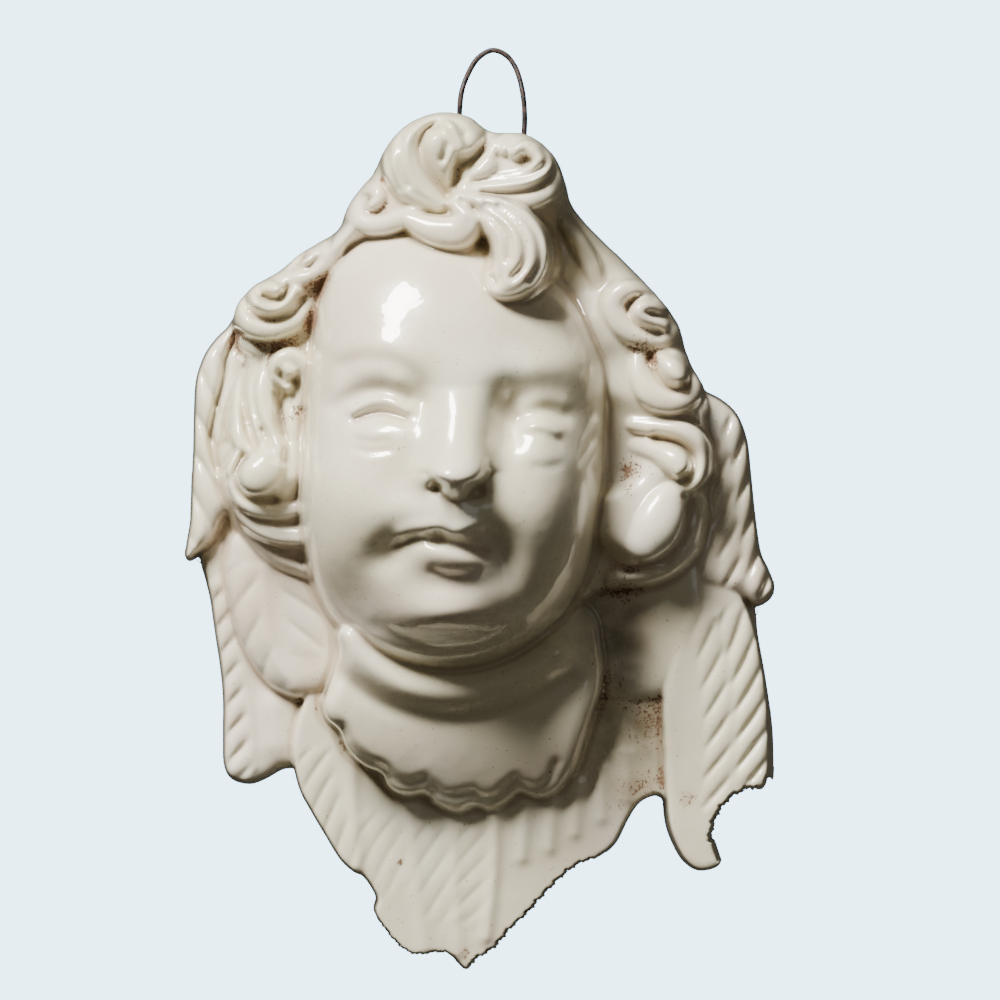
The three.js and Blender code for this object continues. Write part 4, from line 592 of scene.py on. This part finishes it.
def face_share(u, v):
    """Distance from the middle of the face as a share of its edge."""
    du, dv = u - FACE_CENTRE[0], FACE_CENTRE[1] - v
    return np.hypot(du, dv) / edge_radius(FACE_RADII, np.arctan2(dv, du))


def hair_bed(u, v):
    """Surface that follows the crowns of the nearby locks a little below them."""
    total = np.full(u.shape, BED_LEAST)
    depth = total * BED_DEPTH
    for _, spine in LOCKS:
        for cu, cv, half, crown in spine:
            if crown < BED_HIGHEST:
                w = half * np.exp(-0.5 * ((u - cu) ** 2 + (v - cv) ** 2) / BED_REACH**2)
                total += w
                depth += w * crown
    return depth / total - BED_SINK - FACE_CLEARING * np.maximum(0, 1 - face_share(u, v))


def raise_hair(relief):
    raise_plate(relief, HAIR_MASS, hair_bed, HAIR_EDGE, HAIR_DRAFT, HAIR_FALL / HAIR_EDGE)
    points = curve(HAIR_MASS, True)
    win, u, v = relief.patch(points, PLATE_MARGIN)
    distance = inside_by(points, u, v) * UNIT
    relief.limit[win] = np.where(distance < 0, HAIR_LIMIT * distance, np.inf)
    t = 1 - clamp01(distance / HAIR_EDGE)
    relief.fall[win] = HAIR_FALL * (1 - np.sqrt(1 - t * t))


def raise_bust(relief):
    def crown(u, v):
        y = np.clip((v - BUST_MIDDLE[1]) / BUST_SPAN, -1, BUST_BELOW)
        fall = BUST_FALL * y * y * np.where(y > 0, 1, BUST_ABOVE)
        top = BUST_DEPTH + BUST_RIGHT * (u - BUST_MIDDLE[0]) - fall
        for width, rise, line in (NECK_ROLL, NECK_FOLD):
            top = top + rise * along_line(line, width, u, v)
        return top

    raise_plate(relief, CHEST, crown, BUST_RIM, BUST_DRAFT, BUST_EDGE, BUST_BLEND)


def raise_face(relief):
    reach = [(FACE_CENTRE[0] + k * FACE_REACH[0], FACE_CENTRE[1] + k * FACE_REACH[1]) for k in (-1, 1)]
    win, u, v = relief.patch(reach, 0)
    rho = face_share(u, v)
    depth = FACE_EDGE + FACE_RISE * np.sqrt(clamp01(1 - rho**FACE_POWER))
    depth = np.where(rho > 1, FACE_EDGE - (rho - 1) * FACE_DROP, depth)
    inside = clamp01((FORMS_END - rho) / FORMS_FADE)
    for form in FACE_FORMS:
        depth += form[5] * soft_form(form, u, v) * inside
    # The nose widens and rises to its tip and turns under below it
    t = (v - NOSE_ROOT[1]) / (NOSE_TIP[1] - NOSE_ROOT[1])
    middle = NOSE_ROOT[0] + (NOSE_TIP[0] - NOSE_ROOT[0]) * t
    side = (u - middle) / (NOSE_HALF + NOSE_SPREAD * clamp01(t))
    under = clamp01((v - NOSE_TIP[1] + NOSE_ROUND * np.minimum(side**2, NOSE_BESIDE)) / NOSE_UNDER)
    ridge = NOSE_RISE * clamp01(t) ** NOSE_LIFT * (1 - under**2) ** NOSE_TURN
    depth += ridge * np.exp(-0.5 * np.abs(side) ** NOSE_BLOCK)
    for form in NOSE_FORMS:
        depth += form[5] * soft_form(form, u, v)
    for width, rise, line in FACE_LINES:
        depth += rise * along_line(line, width, u, v) * inside
    relief.depth[win] = smooth_max(relief.depth[win], depth, FACE_BLEND)


def cut_furrows(relief):
    for width, rise, line in FURROWS:
        win, u, v = relief.patch(line, 4 * width)
        relief.depth[win] += rise * along_line(line, width, u, v)


def chip_edges(relief):
    """Breaks small teeth out of the thin edges."""
    for outline, bite, line in BROKEN_EDGES:
        win, u, v = relief.patch(line, 3 * bite)
        inside = inside_by(curve(outline, True), u, v)
        best, along, _, run = nearest(curve(line, steps=3), u, v)
        teeth = sum(np.abs(np.mod(along / pitch, 1) - 0.5) for pitch in TOOTH_PITCHES)
        end = clamp01(np.minimum(along, run - along) / TOOTH_PITCHES[0])
        cut = np.minimum(relief.depth[win], (inside - bite * teeth * end) * UNIT * TOOTH_SLOPE)
        relief.depth[win] = np.where(best < (3 * bite) ** 2, cut, relief.depth[win])


def blurred(grid, reach):
    """Two running means along the rows and the columns; reach is in mm."""
    n = max(1, round(reach / CELL))
    size = 2 * n + 1
    for _ in range(4):
        total = np.cumsum(np.pad(grid, [(n + 1, n), (0, 0)], mode="edge"), axis=0)
        grid = ((total[size:] - total[:-size]) / size).T
    return grid


def carved_relief():
    relief = Relief()
    raise_wings(relief)
    raise_hair(relief)
    raise_bust(relief)
    raise_face(relief)
    for strands, spine in LOCKS:
        lay_lock(relief, strands, spine)
    cut_furrows(relief)
    relief.depth = blurred(np.maximum(relief.depth, OUTSIDE), GLAZE_FILL)
    chip_edges(relief)
    relief.depth = np.maximum(relief.depth, OUTSIDE)
    return relief


GRID_ACROSS, GRID_UP = 296, 426
SPREAD_ROUNDS = 140
OUTSIDE_WEIGHT, FINE_WEIGHT = 0.35, 0.9
STEEPEST, FINEST = 12, 1.5
FINE_REACH, FINE_BLUR, FINE_DEPTH, EVEN_BLUR = 1.6, 1.0, 0.4, 0.6
CROSSING_ROUNDS, CROSSING_END = 12, 0.05
HOLLOW_SIDES, HOLLOW_RINGS, HOLLOW_ROUNDS, HOLLOW_LEAST = 96, 26, 6, 0.5
STAIN_REACH = 2.6


def spread_points(relief):
    """Grid of drawing points that crowd together on steep and finely carved places."""
    depth = np.maximum(relief.depth, -1)
    rise, run = np.gradient(depth, CELL)
    slope = np.minimum(np.hypot(rise, run), STEEPEST)
    fine = blurred(np.abs(depth - blurred(depth, FINE_REACH)), FINE_BLUR)
    weight = (1 + slope**2) ** 0.25 * (1 + FINE_WEIGHT * np.minimum(fine / FINE_DEPTH, FINEST))
    weight = blurred(np.where(relief.depth > -0.5, weight, OUTSIDE_WEIGHT), EVEN_BLUR)
    u, v = np.meshgrid(np.linspace(FIELD_LEFT + 1, FIELD_RIGHT - 2, GRID_ACROSS),
                       np.linspace(FIELD_BOTTOM - 1, FIELD_TOP + 2, GRID_UP))
    for _ in range(SPREAD_ROUNDS):
        side = relief.sample(weight, (u[:, 1:] + u[:, :-1]) / 2, (v[:, 1:] + v[:, :-1]) / 2)
        rear = relief.sample(weight, (u[1:] + u[:-1]) / 2, (v[1:] + v[:-1]) / 2)
        east, west = side[1:-1, 1:], side[1:-1, :-1]
        north, south = rear[1:, 1:-1], rear[:-1, 1:-1]
        total = east + west + north + south
        for p in (u, v):
            p[1:-1, 1:-1] = (east * p[1:-1, 2:] + west * p[1:-1, :-2] + north * p[2:, 1:-1]
                             + south * p[:-2, 1:-1]) / total
    return u, v


def crossing_share(relief, near, far):
    """Share of the way between points on both sides of the outline at which the front meets the wall."""
    low, high = np.zeros(len(near)), np.ones(len(near))
    raised = near[:, 2] > 0
    for _ in range(CROSSING_ROUNDS):
        t = (low + high) / 2
        point = near + (far - near) * t[:, None]
        same = (relief.sample(relief.depth, point[:, 0], point[:, 1]) > 0) == raised
        low, high = np.where(same, t, low), np.where(same, high, t)
    return (low + high) / 2


def cut_at_wall(relief, u, v, depth):
    """Triangles of the grid in front of the wall plane, cut along the outline."""
    up, across = u.shape
    at = np.arange(up * across).reshape(up, across)
    a, b, c, d = at[:-1, :-1], at[:-1, 1:], at[1:, 1:], at[1:, :-1]
    flat = depth.ravel()
    even = np.abs(flat[a] - flat[c]) < np.abs(flat[b] - flat[d])
    first = np.where(even[..., None], np.stack([a, b, c], -1), np.stack([a, b, d], -1)).reshape(-1, 3)
    second = np.where(even[..., None], np.stack([a, c, d], -1), np.stack([b, c, d], -1)).reshape(-1, 3)
    triangles = np.concatenate([first, second])
    inside = flat[triangles] > 0
    count = inside.sum(1)
    rows = [np.stack([u.ravel(), v.ravel(), flat], -1)]
    faces = [triangles[count == 3]]

    def turned(mask, odd):
        """Triangles with their odd corner first."""
        k = np.argmax(inside[mask] == odd, axis=1)[:, None]
        return np.take_along_axis(triangles[mask], (k + np.arange(3)) % 3, axis=1)

    one, two = turned(count == 1, True), turned(count == 2, False)
    pairs = np.concatenate([part[:, [0, k]] for part in (one, two) for k in (1, 2)])
    pairs.sort(axis=1)
    keys, where = np.unique(pairs[:, 0] * flat.size + pairs[:, 1], return_inverse=True)
    lo, hi = keys // flat.size, keys % flat.size
    t = np.clip(crossing_share(relief, rows[0][lo], rows[0][hi]), CROSSING_END, 1 - CROSSING_END)[:, None]
    crossing = rows[0][lo] * (1 - t) + rows[0][hi] * t
    crossing[:, 2] = 0
    rows.append(crossing)
    ends = np.cumsum([len(one), len(one), len(two)])
    left, right, near, far = np.split(where.ravel() + flat.size, ends)
    faces.append(np.stack([one[:, 0], left, right], -1))
    faces.append(np.stack([near, two[:, 1], two[:, 2]], -1))
    faces.append(np.stack([near, two[:, 2], far], -1))
    return np.concatenate(rows), np.concatenate(faces)


def rim_loops(faces):
    """Closed loops of edges that only one triangle uses."""
    edges = np.concatenate([faces[:, [0, 1]], faces[:, [1, 2]], faces[:, [2, 0]]])
    pairs = set(map(tuple, edges.tolist()))
    follow = {a: b for a, b in pairs if (b, a) not in pairs}
    loops = []
    while follow:
        at = next(iter(follow))
        loop = []
        while at in follow:
            loop.append(at)
            at = follow.pop(at)
        loops.append(loop)
    return sorted(loops, key=len, reverse=True)


def least_front(relief):
    """Least depth of the front within reach of each point of a coarser grid."""
    step = 3
    coarse = relief.depth[::step, ::step]
    reach = int(round(WALL_REACH / (CELL * step)))
    padded = np.pad(coarse, reach, mode="edge")
    least = coarse.copy()
    for j in range(-reach, reach + 1):
        for i in range(-reach, reach + 1):
            if i * i + j * j <= reach * reach:
                shifted = padded[reach + j:, reach + i:][:coarse.shape[0], :coarse.shape[1]]
                least = np.minimum(least, shifted)
    return least, step


def hollow_rings(relief):
    """Points of the hollow back, ring by ring from its edge to its middle."""
    least, step = least_front(relief)
    angle = np.arange(HOLLOW_SIDES) / HOLLOW_SIDES * 2 * math.pi
    radius = edge_radius(HOLLOW_RADII, angle)
    rings = []
    for k in range(HOLLOW_RINGS, 0, -1):
        share = math.sin(k / HOLLOW_RINGS * math.pi / 2)
        u = HOLLOW_CENTRE[0] + share * radius * np.cos(angle)
        v = HOLLOW_CENTRE[1] - share * radius * np.sin(angle)
        i = np.clip(np.round((u - FIELD_LEFT) / relief.step / step), 0, least.shape[1] - 1).astype(int)
        j = np.clip(np.round((FIELD_BOTTOM - v) / relief.step / step), 0, least.shape[0] - 1).astype(int)
        floor = np.minimum(least[j, i] - WALL, HOLLOW_SHOULDER * math.sqrt(max(0, 1 - share**4)))
        floor = np.maximum(floor, HOLLOW_LEAST) if k < HOLLOW_RINGS else np.zeros(HOLLOW_SIDES)
        rings.append(np.stack([u, v, floor], -1))
    depth = np.stack([r[:, 2] for r in rings])
    for _ in range(HOLLOW_ROUNDS):
        depth[2:-1] = (depth[2:-1] * 2 + depth[1:-2] + depth[3:] + np.roll(depth[2:-1], 1, 1)
                       + np.roll(depth[2:-1], -1, 1)) / 6
    for ring, row in zip(rings, depth):
        ring[:, 2] = row
    return rings


def bands(start, rings, sides, closed=True):
    """Triangles between rings of points that follow each other."""
    faces = []
    for first in range(start, start + (rings - 1) * sides, sides):
        for k in range(sides if closed else sides - 1):
            a, b = first + k, first + (k + 1) % sides
            faces += [(a, b, b + sides), (a, b + sides, a + sides)]
    return faces


def casting_mesh(relief):
    u, v = spread_points(relief)
    depth = relief.sample(relief.depth, u, v)
    rows, faces = cut_at_wall(relief, u, v, depth)
    used, faces = np.unique(faces, return_inverse=True)
    rows, faces = rows[used], faces.reshape(-1, 3)
    rings = hollow_rings(relief)
    start = len(rows)
    middle = rings[-1].mean(0)
    rows = np.concatenate([rows, *rings, middle[None]])
    back = bands(start, len(rings), HOLLOW_SIDES)
    last = start + (len(rings) - 1) * HOLLOW_SIDES
    back += [(last + k, last + (k + 1) % HOLLOW_SIDES, len(rows) - 1) for k in range(HOLLOW_SIDES)]
    loops = rim_loops(faces)
    loops.append(list(range(start, start + HOLLOW_SIDES)))
    order = [k for loop in loops for k in loop]
    lines = [[Vector((rows[k][0], -rows[k][1], 0)) for k in loop] for loop in loops]
    for a, b, c in tessellate_polygon(lines):
        p, q, r = (rows[order[k]] for k in (a, b, c))
        turn = (q[0] - p[0]) * (r[1] - p[1]) - (q[1] - p[1]) * (r[0] - p[0])
        back.append((order[a], order[b], order[c]) if turn > 0 else (order[a], order[c], order[b]))
    front = len(faces)
    faces = np.concatenate([faces, np.array(back)])
    return rows, to_scene(*rows.T), faces, front, start


def mesh_object(name, points, faces):
    mesh = bpy.data.meshes.new(name)
    mesh.vertices.add(len(points))
    mesh.vertices.foreach_set("co", points.astype(np.float32).ravel())
    mesh.loops.add(faces.size)
    mesh.loops.foreach_set("vertex_index", faces.astype(np.int32).ravel())
    mesh.polygons.add(len(faces))
    mesh.polygons.foreach_set("loop_start", np.arange(0, faces.size, 3, dtype=np.int32))
    mesh.polygons.foreach_set("loop_total", np.full(len(faces), 3, dtype=np.int32))
    mesh.update(calc_edges=True)
    mesh.validate()
    piece = bpy.data.objects.new(name, mesh)
    bpy.context.collection.objects.link(piece)
    return piece


def point_values(mesh, name, values):
    layer = mesh.attributes.new(name, "FLOAT", "POINT")
    layer.data.foreach_set("value", values.astype(np.float32))


def stain_map(relief, spots):
    """Share over the grid of the spots given: the brown stains, and the painted shade with some dirt."""
    stain = np.zeros(relief.u.shape)
    for u0, v0, reach, strength in spots:
        win, u, v = relief.patch([(u0, v0)], reach * STAIN_REACH)
        gap = ((u - u0) ** 2 + (v - v0) ** 2) / reach**2
        stain[win] = np.maximum(stain[win], strength * np.exp(-0.5 * gap))
    return stain


def make_casting():
    relief = carved_relief()
    rows, points, faces, front, start = casting_mesh(relief)
    casting = mesh_object("cherub_casting", points, faces)
    mesh = casting.data
    depth = np.maximum(relief.depth, 0)
    sunk = np.clip((blurred(depth, FOLD_REACH) - depth) / FOLD_DEPTH, -1, 1)
    behind = np.arange(len(rows)) >= start
    # soil holds the brown stains, shade_and_grime the painted shade with some dirt, crease how far each
    # place lies below its surroundings
    maps = {"soil": stain_map(relief, STAINS), "shade_and_grime": stain_map(relief, SHADE_AND_GRIME), "crease": sunk}
    for name, grid in maps.items():
        point_values(mesh, name, np.where(behind, 0, relief.sample(grid, rows[:, 0], rows[:, 1])))
    point_values(mesh, "behind", behind.astype(float))
    flat = np.zeros(len(faces), bool)
    flat[front:] = np.abs(rows[faces[front:]][:, :, 2]).max(1) == 0
    mesh.polygons.foreach_set("use_smooth", ~flat)
    return casting


def fill(node, inputs):
    """Sets each input of a node, or links it to the output of another node."""
    for name, value in inputs.items():
        if isinstance(value, bpy.types.NodeSocket):
            node.id_data.links.new(value, node.inputs[name])
        else:
            node.inputs[name].default_value = value


def new_material(name):
    material = bpy.data.materials.new(name)
    material.use_nodes = True
    return material, material.node_tree.nodes["Principled BSDF"], Nodes(material.node_tree)


class Nodes:
    """Short names for building a node tree."""

    def __init__(self, tree):
        self.tree = tree
        self.place = self.make("TexCoord", {}).outputs["Object"]

    def make(self, kind, inputs, **settings):
        node = self.tree.nodes.new("ShaderNode" + kind)
        for name, value in settings.items():
            setattr(node, name, value)
        fill(node, inputs)
        return node

    def noise(self, scale, detail=2.0, rough=0.5):
        inputs = {"Vector": self.place, "Scale": scale, "Detail": detail, "Roughness": rough}
        return self.make("TexNoise", inputs).outputs["Fac"]

    def value(self, name):
        return self.make("Attribute", {}, attribute_name=name).outputs["Fac"]

    def sum(self, kind, *terms):
        return self.make("Math", dict(enumerate(terms)), operation=kind).outputs[0]

    def step(self, value, low, high, to_low=0.0, to_high=1.0):
        inputs = {"Value": value, "From Min": low, "From Max": high, "To Min": to_low, "To Max": to_high}
        return self.make("MapRange", inputs, interpolation_type="SMOOTHSTEP").outputs["Result"]

    def mix(self, share, a, b, kind="MIX"):
        return self.make("Mix", {0: share, 6: a, 7: b}, data_type="RGBA", blend_type=kind).outputs[2]

    def bump(self, height, strength, distance, **under):
        inputs = {"Strength": strength, "Distance": distance, "Height": height, **under}
        return self.make("Bump", inputs).outputs["Normal"]


IVORY = (0.75, 0.70, 0.52, 1)
BLUSH = (0.71, 0.62, 0.49, 1)
PALE = (0.81, 0.78, 0.65, 1)
TAN = (0.40, 0.27, 0.15, 1)
RUST_BROWN = (0.12, 0.055, 0.030, 1)
# Brown of the painted shade, which also stands for some dirt
SHADE_AND_GRIME_BROWN = (0.17, 0.13, 0.08, 1)
RUST_LIGHT = (0.23, 0.125, 0.07, 1)
CLAY = (0.42, 0.24, 0.15, 1)
CLAY_DARK = (0.22, 0.12, 0.075, 1)
IRON_BLACK = (0.028, 0.025, 0.026, 1)
IRON_BROWN = (0.055, 0.032, 0.024, 1)
IRON_RUST = (0.12, 0.08, 0.055, 1)


def glaze_material():
    material, shader, n = new_material("ivory_glaze")
    soil, crease = n.value("soil"), n.value("crease")
    edge = n.make("SeparateXYZ", {0: n.place})
    near_wall = n.sum("MULTIPLY_ADD", n.noise(120, 4, 0.6), 0.004, edge.outputs["Y"])
    bare = n.sum("MAXIMUM", n.step(near_wall, 0.0004, 0.0012), n.value("behind"))
    colour = n.mix(n.step(n.noise(16, 3), 0.42, 0.66), IVORY, BLUSH)
    colour = n.mix(n.step(n.noise(30, 2), 0.45, 0.7, 0, 0.6), colour, PALE)
    # Thin warm film where the glaze pools in hollows
    # Warmer and darker in the hollows: the colour is multiplied towards tan where the surface lies below its
    # blurred surroundings
    darkening = n.step(crease, 0.05, 0.75, 0, 0.42)
    colour = n.mix(darkening, colour, TAN, "MULTIPLY")
    # Painted shade, partly brown dirt: the colour is darkened towards brown at the spots of the shaded folds
    darkening = n.sum("MULTIPLY", n.value("shade_and_grime"), n.step(n.noise(110, 3, 0.6), 0.3, 0.6, 0.6, 1.0))
    colour = n.mix(darkening, colour, SHADE_AND_GRIME_BROWN, "MULTIPLY")
    # Brown stains break up into specks at their edges
    speck = n.noise(850, 4, 0.65)
    patch = n.noise(260, 3, 0.6)
    reach = n.sum("ADD", soil, n.sum("MULTIPLY", crease, n.step(soil, 0.02, 0.3, 0, 0.35)))
    haze = n.step(reach, 0.15, 0.9, 0, 0.5)
    colour = n.mix(haze, colour, TAN)
    broken = n.sum("MULTIPLY_ADD", speck, 3.0, n.sum("MULTIPLY_ADD", patch, 1.2, -2.1))
    stain = n.step(n.sum("ADD", reach, broken), 0.66, 0.92, 0, 0.92)
    colour = n.mix(stain, colour, n.mix(n.step(patch, 0.35, 0.7), RUST_BROWN, RUST_LIGHT))
    pits = n.step(n.noise(900, 1, 0.4), 0.735, 0.765, 0, 0.75)
    colour = n.mix(pits, colour, TAN)
    clay = n.mix(n.noise(60, 6, 0.65), CLAY, CLAY_DARK)
    smear = n.step(n.noise(22, 4, 0.6), 0.42, 0.62, 0.0, 0.75)
    clay = n.mix(smear, clay, PALE)
    colour = n.mix(bare, colour, clay)
    dull = n.sum("MAXIMUM", stain, bare)
    # Slow waves of the melted glaze, fine pits, and grainy clay where it is bare
    waves = n.bump(n.noise(75, 2), 0.10, 0.004)
    grains = n.sum("MULTIPLY", n.noise(500, 6, 0.7), n.step(dull, 0.1, 1, 0.03, 1.0))
    fill(shader, {
        "Base Color": colour,
        "Roughness": n.step(dull, 0, 1, 0.30, 0.8),
        "Coat Weight": n.step(dull, 0, 1, 1.0, 0.08),
        "Coat Roughness": 0.035,
        "Coat IOR": 1.5,
        "Subsurface Weight": 0.12,
        "Subsurface Radius": (1.0, 0.7, 0.5),
        "Subsurface Scale": 0.003,
        "Normal": n.bump(grains, 0.5, 0.0008, Normal=waves),
        "Coat Normal": waves,
    })
    return material


def iron_material():
    material, shader, n = new_material("rusty_iron")
    rust = n.step(n.noise(260, 6, 0.7), 0.42, 0.62)
    colour = n.mix(rust, IRON_BLACK, IRON_BROWN)
    colour = n.mix(n.step(n.noise(900, 4, 0.7), 0.55, 0.75, 0, 0.6), colour, IRON_RUST)
    fill(shader, {
        "Base Color": colour,
        "Roughness": n.step(rust, 0, 1, 0.42, 0.85),
        "Metallic": n.step(rust, 0, 1, 0.8, 0.15),
        "Normal": n.bump(n.noise(900, 6, 0.75), 0.5, 0.0004),
    })
    return material


def wire_route():
    """Middle line of the wire in metres; it stands off the wall more at its legs than at its crown."""
    line = curve(LOOP, steps=WIRE_STEPS)
    top = min(row[1] for row in LOOP)
    t = clamp01((line[:, 1] - top) / (LEG_START - top))
    depth = CROWN_DEPTH + (LEG_DEPTH - CROWN_DEPTH) * t * t * (3 - 2 * t)
    return to_scene(line[:, 0], line[:, 1], depth)


def make_wire():
    route = wire_route()
    rng = np.random.default_rng(5)
    along = np.gradient(route, axis=0)
    along /= np.linalg.norm(along, axis=1, keepdims=True)
    out = np.cross(along, (0, 1, 0))
    out /= np.linalg.norm(out, axis=1, keepdims=True)
    back = np.cross(along, out)
    knots = np.arange(0, len(route), SWELL_STEP)
    swell = np.interp(np.arange(len(route)), knots, rng.uniform(SWELL_LEAST, SWELL_MOST, len(knots)))
    angle = np.arange(WIRE_SIDES) / WIRE_SIDES * 2 * math.pi
    points = []
    for k, p in enumerate(route):
        r = WIRE_DIAMETER / 2 * MM * swell[k]
        points.append(p + r * (np.cos(angle)[:, None] * out[k] + np.sin(angle)[:, None] * back[k]))
    points = np.concatenate(points + [route[:1], route[-1:]])
    faces = bands(0, len(route), WIRE_SIDES)
    first, last = len(points) - 2, len(points) - 1
    tail = (len(route) - 1) * WIRE_SIDES
    faces += [(first, (i + 1) % WIRE_SIDES, i) for i in range(WIRE_SIDES)]
    faces += [(last, tail + i, tail + (i + 1) % WIRE_SIDES) for i in range(WIRE_SIDES)]
    wire = mesh_object("iron_wire", points, np.array(faces))
    wire.data.polygons.foreach_set("use_smooth", np.ones(len(wire.data.polygons), bool))
    return wire


def area_light(name, place, target, size, power, colour, roll=0):
    light = bpy.data.lights.new(name, "AREA")
    light.shape = "RECTANGLE"
    light.size, light.size_y = size
    light.energy = power
    light.color = colour
    lamp = bpy.data.objects.new(name, light)
    lamp.location = place
    turn = (Vector(target) - Vector(place)).to_track_quat("-Z", "Y")
    lamp.rotation_euler = (turn @ Quaternion((0, 0, 1), math.radians(roll))).to_euler()
    bpy.context.collection.objects.link(lamp)


def make_stage():
    """Pale floor that sweeps up far behind the object."""
    floor, wall, top, reach, bend, steps = -0.75, 5.6, 6.0, 9.0, 1.2, 12
    profile = [(-reach, floor), (wall - bend, floor)]
    for k in range(1, steps + 1):
        a = k / steps * math.pi / 2
        profile.append((wall - bend + bend * math.sin(a), floor + bend - bend * math.cos(a)))
    profile.append((wall, top))
    points = np.array([(x, y, z) for y, z in profile for x in (-reach, reach)])
    sweep = mesh_object("backdrop", points, np.array(bands(0, len(profile), 2, closed=False)))
    material, shader, _ = new_material("pale_backdrop")
    fill(shader, {
        "Base Color": (0.80, 0.87, 0.93, 1),
        "Roughness": 0.9,
        "Emission Color": (0.48, 0.77, 1.0, 1),
        "Emission Strength": 5.7,
    })
    sweep.data.materials.append(material)
    sweep.visible_glossy = False
    sweep.visible_diffuse = False


VIEW_DISTANCE, VIEW_DEPTH = 3.2, 0.045
FRAME_UNITS, FILM_WIDTH = 1000.0, 36.0


def make_camera():
    camera = bpy.data.cameras.new("camera")
    camera.sensor_width = FILM_WIDTH
    camera.lens = FILM_WIDTH * VIEW_DISTANCE / (FRAME_UNITS * UNIT * MM)
    seen = bpy.data.objects.new("camera", camera)
    middle = FRAME_UNITS / 2
    seen.location = (to_right(middle) * MM, -VIEW_DEPTH - VIEW_DISTANCE, to_up(middle) * MM)
    seen.rotation_euler = (math.pi / 2, 0, 0)
    bpy.context.collection.objects.link(seen)
    bpy.context.scene.camera = seen


def make_lights():
    middle = (0, -0.05, -0.16)
    area_light("window", (-1.22, -1.70, 2.10), middle, size=(0.82, 1.20), power=360,
               colour=(1.0, 0.965, 0.90), roll=-28)
    area_light("fill", (1.2, -2.2, 0.3), middle, size=(1.0, 1.4), power=3, colour=(0.93, 0.96, 1.0))
    world = bpy.data.worlds.new("room")
    bpy.context.scene.world = world
    world.use_nodes = True
    fill(world.node_tree.nodes["Background"], {"Color": (0.74, 0.66, 0.48, 1), "Strength": 0.085})


make_camera()
glaze = glaze_material()
iron = iron_material()

casting = make_casting()
casting.data.materials.append(glaze)
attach(casting, "root")
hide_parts("cherub_plaque")

wire = make_wire()
wire.data.materials.append(iron)
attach(wire, "root")
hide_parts("hanging_wire")

make_stage()
make_lights()
